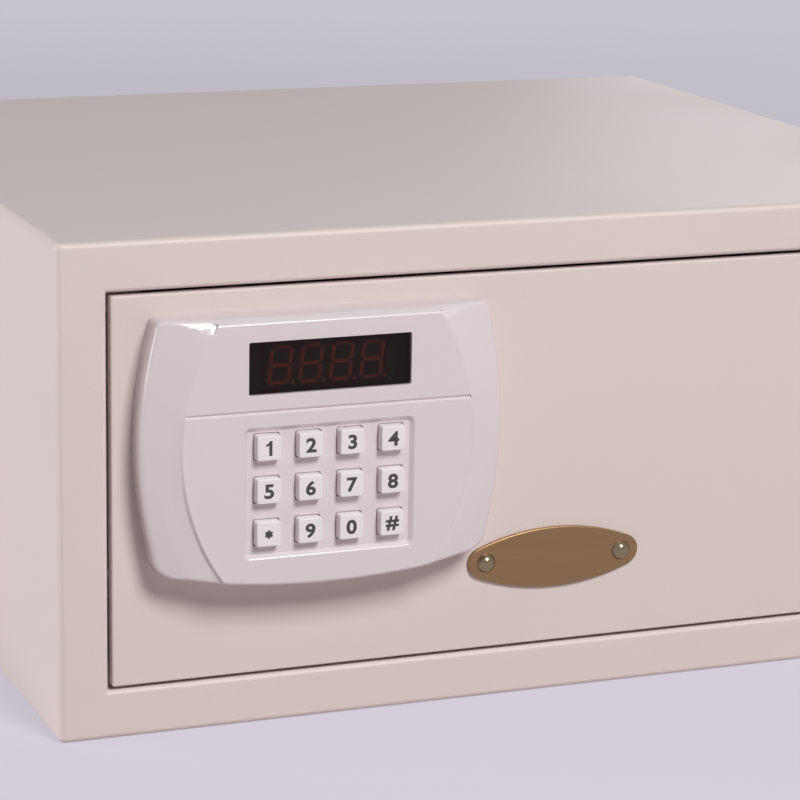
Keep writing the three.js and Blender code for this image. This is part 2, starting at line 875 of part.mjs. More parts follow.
function stakePlaces() {
  const x = keypadBoardWidth / 2 - stakeInset;
  const z = keypadBoardHeight / 2 - stakeInset;
  return rectangle(0, boardRise(), 2 * x, 2 * z);
}

function boardRise() {
  return (windowRise + moduleHeight / 2 + recessRise - recessHeight / 2) / 2;
}

function keypadHousing() {
  const outer = crown(0, 0, 0).subtract(cornerFacets());
  const padWidth = recessWidth + 2 * recessPadMargin;
  const padHeight = recessHeight + 2 * recessPadMargin;
  const recessPad = extrude('y', rectangle(0, recessRise, padWidth, padHeight), -faceProud, -keyFloorInner);
  const hollow = crown(housingWall, housingWall, overshoot).subtract(recessPad);
  const bosses = housingScrewPlaces().map(([x, z]) => (
    rod('y', x - keypadX, z - keypadZ, housingBoss, -faceProud, 0)));
  const boardFront = -keypadBoardProud - boardThickness;
  const posts = stakePlaces().flatMap(([x, z]) => [
    rod('y', x, z, stakePost, -faceProud, boardFront),
    rod('y', x, z, stakePin, boardFront - fuse, -keypadBoardProud + stakeHead),
  ]);
  const fixings = joined([...bosses, ...posts]).intersect(outer);
  const grooveEnd = sideX(faceHalfWidth, faceSideRadius, grooveRise - faceArcRise);
  const groove = extrude('x', [
    [-faceProud - overshoot, grooveRise - grooveWidth / 2 - overshoot],
    [-faceProud + grooveWidth / 2, grooveRise],
    [-faceProud - overshoot, grooveRise + grooveWidth / 2 + overshoot],
  ], -grooveEnd, grooveEnd);
  const window = roundedRectangle(0, windowRise, windowWidth, windowHeight, windowCorner);
  const keyHole = keySize + 2 * keyRunning;
  return cut(outer.subtract(hollow).add(fixings), [
    recessFrustum(),
    groove,
    extrude('y', window, -faceProud - overshoot, -faceProud + housingWall + overshoot),
    ...keyPlaces().map(({ x, z }) => (
      extrude('y', roundedRectangle(x, z, keyHole, keyHole, 1), -faceProud, -keyFloorInner + overshoot))),
    ...housingScrewPlaces().map(([x, z]) => (
      rod('y', x - keypadX, z - keypadZ, housingScrew + 2 * runGap, -housingScrewHole, overshoot))),
  ]);
}

function displayLens() {
  const ceiling = faceProud - housingWall - runGap;
  const back = ceiling - lensFlangeThickness;
  const flange = roundedRectangle(
    0, windowRise, windowWidth + 2 * lensFlange, windowHeight + 2 * lensFlange, 1);
  const window = roundedRectangle(
    0, windowRise, windowWidth - 2 * runGap, windowHeight - 2 * runGap, windowCorner);
  return joined([
    extrude('y', flange, -ceiling, -back),
    extrude('y', window, -faceProud + lensSink, -back),
  ]);
}

// The board carries the display module in front and the ribbon's connector behind
function keypadBoard() {
  const front = -keypadBoardProud - boardThickness;
  const outline = roundedRectangle(0, boardRise(), keypadBoardWidth, keypadBoardHeight, 2);
  const sheet = extrude('y', outline, front, -keypadBoardProud);
  const connector = block(connectorRight - connectorWidth, connectorRight,
    -keypadBoardProud - fuse, -keypadBoardProud + connectorTall,
    ribbonRise - connectorHeight / 2, ribbonRise + connectorHeight / 2);
  const moduleFront = -faceProud + housingWall + runGap + lensFlangeThickness + runGap;
  const displayModule = extrude('y', rectangle(0, windowRise, moduleWidth, moduleHeight),
    moduleFront, front + fuse);
  const holes = stakePlaces().map(([x, z]) => (
    hole('y', x, z, stakePin + 2 * runGap, front, -keypadBoardProud)));
  return cut(joined([sheet, connector, displayModule]), holes);
}

function keyDomeMat() {
  const back = -keypadBoardProud - boardThickness;
  const front = back - domeMatThickness;
  const outline = roundedRectangle(0, keyRise, recessWidth - 2 * domeMatMargin, recessHeight, 2);
  const keyBack = -keyFloorInner + runGap + keyLipThickness + keyStemLength;
  const domeTop = keyBack + keyTravel + domeClear;
  const domes = keyPlaces().map(({ x, z }) => lofted([
    ringAlongY(circle(x, z, domeDiameter / 2), front + fuse),
    ringAlongY(circle(x, z, domeDiameter / 2), front),
    ringAlongY(circle(x, z, domeDiameter / 4), domeTop),
  ]));
  return joined([extrude('y', outline, front, back), ...domes]);
}

// A cap that narrows towards its top, with a lip that keeps it in the housing and a stem
function keyCap() {
  const top = -faceProud - keyProud;
  const lipFront = -keyFloorInner + runGap;
  const lipBack = lipFront + keyLipThickness;
  const square = (size, radius, y) => ringAlongY(roundedRectangle(0, 0, size, size, radius), y);
  const lip = keySize + 2 * keyLip;
  return lofted([
    square(keyStem, keyStem * 0.45, lipBack + keyStemLength),
    square(keyStem, keyStem * 0.45, lipBack),
    square(lip, keyCorner, lipBack),
    square(lip, keyCorner, lipFront),
    square(keySize, keyCorner, lipFront),
    ...bend(keyCorner, 2, (r, a) => (
      square(keySize - 2 * (r - r * Math.cos(a)), keyCorner, top + r - r * Math.sin(a)))),
  ]);
}

// The ribbon leaves its connector along X and turns back through the door
function ribbonOutline(start, turnX, turnY, end) {
  const half = ribbonThickness / 2;
  const steps = 4;
  const arc = (radius) => Array.from({ length: steps + 1 }, (_, i) => {
    const angle = Math.PI / 2 * i / steps;
    return [turnX - ribbonBend + radius * Math.sin(angle), turnY + ribbonBend - radius * Math.cos(angle)];
  });
  return [
    [start, turnY - half],
    ...arc(ribbonBend + half),
    [turnX + half, end],
    [turnX - half, end],
    ...arc(ribbonBend - half).reverse(),
    [start, turnY + half],
  ];
}

function keypadRibbon() {
  const outline = ribbonOutline(connectorRight + runGap, ribbonX, -keypadBoardProud + connectorTall / 2,
    chassisBack + controlStandoff - runGap);
  return extrude('z', outline, ribbonRise - ribbonWidth / 2, ribbonRise + ribbonWidth / 2);
}

function ribbonSlot(from, to) {
  const outline = roundedRectangle(keypadX + ribbonX, keypadZ + ribbonRise,
    ribbonThickness + 2 * ribbonClear, ribbonWidth + 2 * ribbonClear, 1);
  return extrude('y', outline, from - overshoot, to + overshoot);
}

function housingScrewPiece() {
  return panScrew(housingScrew, housingScrewHead, housingScrewHeadHeight, -housingScrewGrip, doorThickness);
}

// Key override and its cover plate

function coverPlateScrewPlaces() {
  return [-1, 1].map((side) => [overrideX + side * coverScrewSpan / 2, overrideZ]);
}

// Two long arcs that run into round tips
function coverPlateOutline() {
  const tipSteps = 4;
  const arcSteps = 12;
  const tipX = coverPlateLength / 2 - coverPlateTip;
  const half = coverPlateHeight / 2;
  const radius = (tipX ** 2 + half ** 2 - coverPlateTip ** 2) / (2 * (half - coverPlateTip));
  const meet = Math.atan2(tipX, radius - half);
  const right = Array.from({ length: tipSteps + 1 }, (_, i) => {
    const angle = (Math.PI / 2 - meet) * (2 * i / tipSteps - 1);
    return [tipX + coverPlateTip * Math.cos(angle), coverPlateTip * Math.sin(angle)];
  });
  const top = Array.from({ length: arcSteps - 1 }, (_, i) => {
    const angle = meet * (1 - 2 * (i + 1) / arcSteps);
    return [radius * Math.sin(angle), half - radius + radius * Math.cos(angle)];
  });
  const left = right.map(([x, z]) => [-x, -z]);
  const bottom = top.map(([x, z]) => [-x, -z]);
  return [...right, ...top, ...left, ...bottom];
}

function overrideCoverPlate() {
  const plate = extrude('y', coverPlateOutline(), -coverPlateThickness, 0);
  return cut(plate, [-1, 1].map((side) => (
    hole('y', side * coverScrewSpan / 2, 0, coverScrewShank + 2 * weldGap, -coverPlateThickness, 0))));
}

function coverPlateScrew() {
  const domeSteps = 5;
  const seat = -coverPlateThickness;
  const head = coverScrewHead / 2;
  const shank = coverScrewShank / 2;
  const sphere = (head ** 2 + coverScrewDome ** 2) / (2 * coverScrewDome);
  const edge = Math.asin(head / sphere);
  const dome = Array.from({ length: domeSteps }, (_, i) => {
    const angle = edge * i / domeSteps;
    return [sphere * Math.sin(angle), seat - coverScrewDome + sphere - sphere * Math.cos(angle)];
  });
  const tip = doorThickness - weldGap;
  return turned([
    ...dome, [head, seat], [shank, seat], [shank, tip - fuse], [shank - fuse, tip], [0, tip],
  ], roundSteps);
}

function overrideBarrel() {
  const end = runGap + barrelLength;
  return joined([
    rod('y', 0, 0, barrelFlange, runGap, runGap + barrelFlangeThickness, roundSteps),
    rod('y', 0, 0, barrelDiameter, runGap, end, roundSteps),
  ]).subtract(hole('y', 0, 0, plugDiameter + 2 * lockRunning, runGap, end, roundSteps));
}

function overridePlug() {
  const slot = block(-keyway / 2, keyway / 2, runGap - overshoot, runGap + keywayDepth,
    -keywayHeight / 2, keywayHeight / 2);
  const tailEnd = camFront + camThickness;
  return joined([
    rod('y', 0, 0, plugDiameter, runGap, camFront, roundSteps),
    extrude('y', rectangle(0, 0, plugTail, plugTail), camFront - fuse, tailEnd),
    rod('y', 0, 0, camStud, camFront, tailEnd + camStudLength),
  ]).subtract(slot);
}

function overrideCam() {
  const back = camFront + camThickness;
  const square = plugTail + 2 * weldGap;
  return extrude('y', roundedRectangle(0, -camReach / 2, camWidth, camReach, 2), camFront, back)
    .add(rod('y', 0, 0, camHub, camFront, back, roundSteps))
    .subtract(extrude('y', rectangle(0, 0, square, square), camFront - overshoot, back + overshoot));
}

function camNut() {
  const seat = camFront + camThickness;
  return hexNut(camNutAcross, camStud + 2 * weldGap, seat, seat + camNutThickness);
}

function overrideNut() {
  return hexNut(nutAcross, barrelDiameter + 2 * weldGap, chassisBack, chassisBack + nutThickness);
}

// Boltwork

function bolt(z) {
  const radius = boltDiameter / 2;
  const tail = boltTail / 2;
  const tailEnd = barLeft + boltTailLength;
  const profile = [
    [0, boltTip], [radius - boltChamfer, boltTip], [radius, boltTip + boltChamfer], [radius, barLeft],
    [tail, barLeft], [tail, barRight], [tail + boltCollar, barRight],
    [tail + boltCollar, barRight + boltCollarLength], [tail, barRight + boltCollarLength],
    [tail, tailEnd - boltChamfer], [tail - boltChamfer, tailEnd], [0, tailEnd],
  ];
  return turned(profile, roundSteps)
    .rotate([0, 0, -90])
    .translate([0, boltDepth, z]);
}

// Rack teeth point up. A gap stands under the pinion's middle.
function rackOutline() {
  const pitch = Math.PI * gearModule;
  const left = barRight - fuse;
  const right = pinionX + boltThrow + rackOverrun;
  const rootZ = boltworkZ - dedendum;
  const tipZ = boltworkZ + gearModule;
  const halfTip = pitch / 4 - gearModule * pressureSlope - gearBacklash / 2;
  const halfRoot = pitch / 4 + dedendum * pressureSlope - gearBacklash / 2;
  const firstTooth = Math.floor((right - halfRoot - pinionX) / pitch - 0.5);
  const lastTooth = -Math.ceil(rackOverrun / pitch);
  const teeth = Array.from({ length: firstTooth - lastTooth + 1 }, (_, i) => {
    const x = pinionX + (lastTooth + i + 0.5) * pitch;
    return [[x + halfRoot, rootZ], [x + halfTip, tipZ], [x - halfTip, tipZ], [x - halfRoot, rootZ]];
  });
  return [
    [left, boltworkZ - rackBody],
    [right, boltworkZ - rackBody],
    [right, rootZ],
    ...teeth.reverse().flat(),
    [left, rootZ],
  ];
}

function boltBar() {
  const tabLeft = overrideX + camReach + tabGap;
  const tabRight = tabLeft + barThickness;
  const back = barFront + barDepth;
  const top = boltworkZ + boltPitch / 2 + barMargin;
  const arm = block(barRight - fuse, tabRight, barFront, barFront + barThickness,
    armBottom, armBottom + armHeight);
  return cut(joined([
    block(barLeft, barRight, barFront, back, armBottom, top),
    arm,
    block(tabLeft, tabRight, barFront, back, armBottom, armBottom + tabHeight),
    block(tabLeft, tabRight, camFront + runGap, back, armBottom, overrideZ - tabClear),
    extrude('y', rackOutline(), rackFront, rackFront + rackFace),
  ]), boltHeights().map((z) => (
    hole('x', boltDepth, z, boltTail + 2 * weldGap, barLeft, barRight, roundSteps))));
}

// Pinion tooth pointing straight down, into the rack's gap
function pinionOutline() {
  const half = Math.PI / (2 * pinionTeeth) - gearBacklash / (2 * pitchRadius);
  const flank = [
    [pitchRadius - dedendum, half * 1.7],
    [pitchRadius - gearModule * 0.4, half * 1.15],
    [pitchRadius + gearModule * 0.3, half * 0.85],
    [pitchRadius + gearModule, half * 0.4],
  ];
  const tooth = [
    ...flank.map(([radius, angle]) => [radius, -angle]),
    ...flank.map(([radius, angle]) => [radius, angle]).reverse(),
  ];
  return Array.from({ length: pinionTeeth }, (_, n) => {
    const middle = -Math.PI / 2 + 2 * Math.PI * n / pinionTeeth;
    return tooth.map(([radius, angle]) => (
      [radius * Math.cos(middle + angle), radius * Math.sin(middle + angle)]));
  }).flat();
}

function drivePinion() {
  const back = rackFront + rackFace - pinionInset;
  return joined([
    extrude('y', pinionOutline(), rackFront + pinionInset, back),
    rod('y', 0, 0, pinionShaft, rackFront - pinionInset, gearboxFront + gearboxDepth / 2, roundSteps),
    rod('y', 0, 0, pinionHub, back - fuse, back + pinionHubLength, roundSteps),
  ]);
}

function gearboxHousing() {
  const low = -gearboxDrop;
  const high = gearboxHeight - gearboxDrop;
  const outline = roundedRectangle(0, (low + high) / 2, gearboxWidth, gearboxHeight, gearboxCorner);
  const feet = [-1, 1].map((side) => (
    rod('y', side * (gearboxWidth - gearboxFoot) / 2, high - gearboxFoot / 2, gearboxFoot,
      chassisBack, gearboxFront + fuse)));
  const bore = rod('y', 0, 0, pinionShaft + 2 * runGap, gearboxFront - noseLength - overshoot,
    gearboxFront + gearboxDepth / 2 + runGap, roundSteps);
  return joined([
    extrude('y', outline, gearboxFront, gearboxFront + gearboxDepth),
    rod('y', 0, 0, noseDiameter, gearboxFront - noseLength, gearboxFront + fuse, roundSteps),
    ...feet,
  ]).subtract(bore);
}

function motor() {
  const base = gearboxHeight - gearboxDrop;
  const end = base + motorLength;
  const depth = gearboxFront + gearboxDepth / 2;
  const can = rod('z', 0, depth, motorDiameter, base, end, roundSteps);
  const flats = block(-motorDiameter, motorDiameter, depth - motorFlats / 2, depth + motorFlats / 2,
    base - overshoot, end + overshoot);
  const terminals = [-terminalSpan / 2, terminalSpan / 2].map((x) => (
    block(x - terminalWidth / 2, x + terminalWidth / 2, depth - terminalThickness / 2,
      depth + terminalThickness / 2, end - fuse, end + terminalLength)));
  return joined([
    can.intersect(flats),
    rod('z', 0, depth, motorEnd, end - fuse, end + motorEndLength),
    ...terminals,
  ]);
}

// Chassis and cover

function pillarPlaces() {
  return [
    [chassisLeft + leftPillarInset, boltworkZ],
    [chassisRight - rightPillarInset, controlBottom - rightPillarDrop],
  ];
}

function controlStandoffs() {
  return rectangle(controlX, controlZ, controlWidth - 2 * standoffInset, controlHeight - 2 * standoffInset);
}

function lockChassis() {
  const sheet = block(chassisLeft, chassisRight, doorThickness, chassisBack, chassisLow, chassisHigh);
  const flange = block(chassisLeft, chassisLeft + chassisFlange, doorThickness,
    doorThickness + chassisFlangeDepth, chassisLow, chassisHigh);
  const guideLeft = tailGuideX - chassisSheet / 2;
  const guideRight = tailGuideX + chassisSheet / 2;
  const tailGuides = boltHeights().map((z) => (
    block(guideLeft, guideRight, doorThickness, boltDepth + boltTail,
      z - tailGuideHeight / 2, z + tailGuideHeight / 2)));
  const pillars = pillarPlaces().map(([x, z]) => (
    rod('y', x, z, coverPillar, doorThickness, coverInner - runGap)));
  const boardSeat = chassisBack + controlStandoff;
  const standoffs = controlStandoffs().flatMap(([x, z]) => [
    rod('y', x, z, standoffDiameter, doorThickness, boardSeat),
    rod('y', x, z, standoffPin, doorThickness, boardSeat + boardThickness + stakeHead),
  ]);
  return cut(joined([sheet, flange, ...tailGuides, ...pillars, ...standoffs]), [
    ...boltHeights().map((z) => hole('x', boltDepth, z, boltDiameter + 2 * boltRunning,
      chassisLeft, chassisLeft + chassisFlange, roundSteps)),
    ...boltHeights().map((z) => hole('x', boltDepth, z, boltTail + 2 * boltRunning,
      guideLeft, guideRight, roundSteps)),
    ...pillarPlaces().map(([x, z]) => rod('y', x, z, coverScrew + 2 * weldGap,
      coverInner - coverScrewHole, coverInner)),
    ...housingScrewPlaces().map(([x, z]) => hole('y', x, z, screwAccess, doorThickness, chassisBack)),
    ribbonSlot(doorThickness, chassisBack),
    hole('y', overrideX, overrideZ, barrelDiameter + 2 * weldGap, doorThickness, chassisBack, roundSteps),
  ]);
}

function coverPan(inset, front) {
  const rear = coverBack - inset;
  const width = coverRight - coverLeft - 2 * inset;
  const height = coverTop - coverBottom - 2 * inset;
  const radius = Math.max(coverBend - inset, sharpCorner);
  const outline = (shrink) => roundedRectangle((coverLeft + coverRight) / 2, (coverTop + coverBottom) / 2,
    width - 2 * shrink, height - 2 * shrink, coverCorner - inset - shrink / 2, 3);
  return lofted([
    ringAlongY(outline(0), front),
    ...bend(radius, 3, (r, a) => ringAlongY(outline(r - r * Math.cos(a)), rear - r + r * Math.sin(a))),
  ]);
}

function lockCover() {
  const [mouthWidth, mouthHeight] = trayMouth();
  const mouth = roundedRectangle(batteryX, batteryZ, mouthWidth, mouthHeight, 2);
  return cut(coverPan(0, doorThickness).subtract(coverPan(coverSheet, doorThickness - overshoot)), [
    ...boltHeights().map((z) => hole('x', boltDepth, z, boltDiameter + 4 * boltRunning,
      coverLeft, coverLeft + coverSheet, roundSteps)),
    ...pillarPlaces().map(([x, z]) => hole('y', x, z, coverScrew + 2 * runGap, coverInner, coverBack)),
    extrude('y', mouth, coverInner - overshoot, coverBack + overshoot),
  ]);
}

function coverScrewPiece() {
  return panScrew(coverScrew, coverScrewHeadSize, coverScrewHeadHeight,
    coverInner - coverScrewGrip, coverBack);
}

function controlBoard() {
  const front = chassisBack + controlStandoff;
  const rear = front + boardThickness;
  const outline = roundedRectangle(controlX, controlZ, controlWidth, controlHeight, 2);
  const reachX = controlWidth / 2 - partEdge;
  const reachZ = controlHeight / 2 - partEdge;
  const box = (x, z, width, height, tall) => (
    extrude('y', rectangle(controlX + x, controlZ + z, width, height), rear - fuse, rear + tall));
  const can = (x, z) => (
    rod('y', controlX + x, controlZ + z, capacitorDiameter, rear - fuse, rear + capacitorTall));
  const chip = box(0, chipSize / 2, chipSize, chipSize, chipTall);
  const ribbonSocket = box(-reachX, 0, socketWidth, socketLength, socketWidth);
  const motorSocket = box(0, -reachZ, socketLength, socketWidth, socketWidth);
  const relay = box(-reachX / 2, reachZ, relayLength, relayWidth, relayTall);
  const capacitors = [0, -2 * capacitorDiameter].map((z) => can(reachX, z));
  return cut(joined([
    extrude('y', outline, front, rear), chip, ribbonSocket, motorSocket, relay, ...capacitors,
  ]), controlStandoffs().map(([x, z]) => hole('y', x, z, standoffPin + 2 * runGap, front, rear)));
}

function limitSwitch() {
  const left = barRight + switchSetback;
  const low = boltworkZ + switchRise;
  const high = low + switchHeight;
  const body = block(left, left + switchLength, chassisBack, chassisBack + switchWidth, low, high);
  const tip = barRight + runGap;
  const middle = chassisBack + switchWidth / 2;
  const lever = extrude('y', [
    [tip, low + switchHeight / 2],
    [left + fuse, high - 2 * leverThickness],
    [left + fuse, high - leverThickness],
    [tip, low + switchHeight / 2 + leverThickness],
  ], middle - leverWidth / 2, middle + leverWidth / 2);
  return body.add(lever);
}

// Battery box

function trayMouth() {
  return [
    cellPitch * (cellCount - 1) + cellDiameter + 2 * traySideClear,
    cellLength + cellNubHeight + 2 * trayEndClear,
  ];
}

function trayOutline(extra, radius) {
  const [width, height] = trayMouth();
  return roundedRectangle(batteryX, batteryZ, width + 2 * extra, height + 2 * extra, radius);
}

function batteryBox() {
  const [width, height] = trayMouth();
  const floor = trayFront + trayWall;
  const seat = coverInner - weldGap;
  const ribs = Array.from({ length: cellCount - 1 }, (_, i) => {
    const x = batteryX + (i - (cellCount - 2) / 2) * cellPitch;
    return extrude('y', rectangle(x, batteryZ, ribThickness, ribLength),
      floor - fuse, floor + cellDiameter / 2);
  });
  const tray = extrude('y', trayOutline(trayWall, 2), trayFront, seat)
    .subtract(extrude('y', trayOutline(0, 1), floor, seat + overshoot));
  const mouth = extrude('y', rectangle(batteryX, batteryZ, width, height),
    seat - trayWall - overshoot, seat + overshoot);
  const lip = extrude('y', trayOutline(trayLip, 2), seat - trayWall, seat).subtract(mouth);
  return joined([tray, lip, ...ribs]);
}

function batteryCell() {
  const half = cellLength / 2;
  const radius = cellDiameter / 2;
  return turned([
    [0, -half], [radius - cellEdge, -half], [radius, -half + cellEdge], [radius, half - cellEdge],
    [radius - cellEdge, half], [cellNub / 2, half],
    [cellNub / 2, half + cellNubHeight], [0, half + cellNubHeight],
  ]).rotate([90, 0, 0]);
}

function batteryCells() {
  const y = trayFront + trayWall + cellDiameter / 2 + runGap;
  return Array.from({ length: cellCount }, (_, i) => {
    const x = batteryX + (i - (cellCount - 1) / 2) * cellPitch;
    const cell = piece(`battery_${i + 1}`, batteryCell(), 'cellWrap', [x, y, batteryZ]);
    cell.rotation.y = i % 2 === 0 ? 0 : Math.PI;
    return cell;
  });
}

function batteryLid() {
  const [width, height] = trayMouth();
  const seat = coverBack + weldGap;
  const outline = roundedRectangle(batteryX, batteryZ, width + 2 * lidLap, height + 2 * lidLap, 3);
  const rimRise = height / 2 - runGap - rimThickness / 2;
  const rims = [-rimRise, rimRise].map((rise) => (
    extrude('y', rectangle(batteryX, batteryZ + rise, width - 2 * rimInset, rimThickness),
      coverInner, seat + fuse)));
  const grips = Array.from({ length: gripCount }, (_, i) => {
    const rise = height / 2 - gripEdge + (i - (gripCount - 1) / 2) * gripPitch;
    return extrude('y', rectangle(batteryX, batteryZ + rise, gripLength, gripWidth),
      seat + lidThickness - fuse, seat + lidThickness + gripHeight);
  });
  return joined([extrude('y', outline, seat, seat + lidThickness), ...rims, ...grips]);
}

// The assembly

const keypad = group([keypadX, 0, keypadZ], [
  piece('keypad_housing', keypadHousing(), 'housingPlastic'),
  piece('display_lens', displayLens(), 'smokedLens'),
  piece('keypad_board', keypadBoard(), 'circuitBoard'),
  piece('key_dome_mat', keyDomeMat(), 'silicone'),
  piece('keypad_ribbon', keypadRibbon(), 'ribbonGrey'),
  ...keyPlaces().map(({ name, x, z }) => piece(name, keyCap(), 'keyPlastic', [x, 0, z])),
]);

const sideNames = ['left', 'right'];

const housingScrews = housingScrewPlaces().map(([x, z], i) => (
  piece(`housing_screw_${sideNames[i]}`, housingScrewPiece(), 'zincSteel', [x, 0, z])));

const override = group([overrideX, 0, overrideZ], [
  piece('override_cover_plate', overrideCoverPlate(), 'brass'),
  piece('cover_plate_screw_left', coverPlateScrew(), 'polishedSteel', [-coverScrewSpan / 2, 0, 0]),
  piece('cover_plate_screw_right', coverPlateScrew(), 'polishedSteel', [coverScrewSpan / 2, 0, 0]),
  piece('override_barrel', overrideBarrel(), 'zincSteel'),
  piece('override_plug', overridePlug(), 'polishedSteel'),
  piece('override_cam', overrideCam(), 'zincSteel'),
  piece('cam_nut', camNut(), 'zincSteel'),
  piece('override_nut', overrideNut(), 'zincSteel'),
]);

const drive = group([pinionX, 0, pinionZ], [
  piece('drive_pinion', drivePinion(), 'zincSteel'),
  piece('gearbox_housing', gearboxHousing(), 'darkPlastic'),
  piece('bolt_motor', motor(), 'polishedSteel'),
]);

const [lowerBolt, upperBolt] = boltHeights();

const lock = [
  piece('lock_chassis', lockChassis(), 'zincSteel'),
  piece('bolt_top', bolt(upperBolt), 'polishedSteel'),
  piece('bolt_bottom', bolt(lowerBolt), 'polishedSteel'),
  piece('bolt_bar', boltBar(), 'zincSteel'),
  piece('control_board', controlBoard(), 'circuitBoard'),
  piece('limit_switch', limitSwitch(), 'darkPlastic'),
  piece('lock_cover', lockCover(), 'casePaint'),
  ...pillarPlaces().map(([x, z], i) => (
    piece(`lock_cover_screw_${sideNames[i]}`, coverScrewPiece(), 'zincSteel', [x, 0, z]))),
  piece('battery_box', batteryBox(), 'darkPlastic'),
  ...batteryCells(),
  piece('battery_lid', batteryLid(), 'darkPlastic'),
];

const door = group([0, frontY, 0], [
  piece('door_plate', doorPlate(), 'casePaint'),
  piece('hinge_block_top', hingeBlock(1), 'zincSteel'),
  piece('hinge_block_bottom', hingeBlock(-1), 'zincSteel'),
  piece('hinge_bush_top', hingeBush(1), 'bronze'),
  piece('hinge_bush_bottom', hingeBush(-1), 'bronze'),
  keypad,
  ...housingScrews,
  override,
  drive,
  ...lock,
]);

const safe = new THREE.Group();
safe.add(...caseBody(), door);

export default safe;
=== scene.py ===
"""Looks for an electronic laptop safe: painted case, moulded keypad, brass cover plate, boltwork.

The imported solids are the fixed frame. Each operator makes one piece, or a group of like pieces,
in metres and in that frame: +Z is up, the front faces -Y and the floor is at Z = 0.
"""

import math

import bmesh
import bpy
from bpy.props import FloatProperty, FloatVectorProperty, PointerProperty
from mathutils import Matrix, Vector, noise
from mathutils.geometry import delaunay_2d_cdt


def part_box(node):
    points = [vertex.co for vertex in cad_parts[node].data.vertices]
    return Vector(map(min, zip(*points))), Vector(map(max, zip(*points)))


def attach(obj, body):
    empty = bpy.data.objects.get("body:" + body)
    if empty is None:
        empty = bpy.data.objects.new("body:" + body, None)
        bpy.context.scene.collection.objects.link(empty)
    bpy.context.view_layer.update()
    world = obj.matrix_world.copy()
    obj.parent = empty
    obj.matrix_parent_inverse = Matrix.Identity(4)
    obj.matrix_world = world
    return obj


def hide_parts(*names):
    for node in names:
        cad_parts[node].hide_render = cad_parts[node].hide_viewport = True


bl_info = {
    "name": "Electronic laptop safe",
    "version": (1, 0, 0),
    "blender": (4, 5, 0),
    "location": "View3D > Sidebar > Safe",
    "description": "Builds the visible pieces and finishes of an electronic laptop safe",
    "category": "Object",
}

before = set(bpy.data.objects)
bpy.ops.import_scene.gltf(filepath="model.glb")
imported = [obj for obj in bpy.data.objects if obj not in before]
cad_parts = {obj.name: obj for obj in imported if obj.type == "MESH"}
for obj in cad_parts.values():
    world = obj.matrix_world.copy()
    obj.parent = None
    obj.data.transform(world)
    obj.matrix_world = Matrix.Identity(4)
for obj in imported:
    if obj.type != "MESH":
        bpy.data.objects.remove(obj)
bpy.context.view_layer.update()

MM = 0.001
ROUND = 64
ANCHOR_XS = (-150 * MM, 150 * MM)
WALL_ANCHOR_RISE = 130 * MM
BASE_ANCHOR_BACK = 30 * MM
ANCHOR_RADIUS = 5 * MM
DIGIT_PITCH = 12.7 * MM
DIGIT_SLANT = math.tan(math.radians(6))
KEY_SYMBOLS = dict(zip(
    ("key_1", "key_2", "key_3", "key_4", "key_5", "key_6", "key_7", "key_8",
     "key_star", "key_9", "key_0", "key_hash"), "12345678*90#"))
CELLS = [f"battery_{i}" for i in (1, 2, 3, 4)]
UPRIGHT = Matrix.Rotation(math.radians(90), 4, "X")


def srgb(red, green, blue):
    """A colour given as 0 to 255 per channel, in the linear values that nodes use."""
    return tuple(
        v / 12.92 if v <= 0.04045 else ((v + 0.055) / 1.055) ** 2.4
        for v in (red / 255, green / 255, blue / 255)
    )


def length(name, description, default, least):
    """A length property, given in millimetres."""
    return FloatProperty(
        name=name, description=description, default=default * MM, min=least * MM, unit="LENGTH")


def tint(name, description, *default):
    """A colour property, given as 0 to 255 per channel."""
    return FloatVectorProperty(
        name=name, description=description, default=srgb(*default), subtype="COLOR", min=0, max=1)


def angle(name, description, degrees):
    return FloatProperty(
        name=name, description=description, default=math.radians(degrees), subtype="ANGLE")


def power(name, description, watts):
    return FloatProperty(name=name, description=description, default=watts, min=0, unit="POWER")


class SafeSizes(bpy.types.PropertyGroup):
    """Sizes of the visible pieces that the solids don't give by their boxes."""

    wall_sheet: length("Wall sheet", "Thickness of the case's sheet steel", 2, 0.5)
    band_width: length("Front band", "Width of the band round the doorway", 20, 5)
    lip_depth: length("Lip depth", "How far the band's lip runs into the doorway", 5, 2)
    corner_bend: length("Case bend", "Outer radius of the case's long and front edges", 2.5, 0.5)
    doorway_bend: length("Doorway bend", "Radius of the band's edge at the doorway", 2, 0.5)
    door_edge: length("Door edge", "Radius of the door plate's front edge", 0.8, 0.1)
    face_proud: length("Keypad face", "Height of the keypad's flat face over the door", 18, 5)
    rim_proud: length("Keypad rim", "Height of the keypad's rim over the door", 12, 2)
    rim_fillet: length("Rim fillet", "Radius along the keypad housing's rim", 1.5, 0.2)
    groove_width: length("Groove width", "Width of the V-groove across the keypad", 1.8, 0.1)
    panel_step: length("Key panel step", "How far the key panel stands over the wings", 1, 0)
    key_size: length("Key size", "Width and height of a key's cap", 10.5, 4)
    symbol_height: length("Symbol height", "Height of the figures on the keys", 5.9, 2)
    digit_height: length("Digit height", "Height of the display's figures", 14.2, 4)
    plate_fillet: length("Cover plate edge", "Radius along the brass plate's edge", 0.45, 0.05)
    soft_edge: length("Soft edge", "Rounding on machined and moulded parts", 0.3, 0.05)
    weld_spacing: length("Weld spacing", "Distance between the back panel's weld tacks", 58, 10)


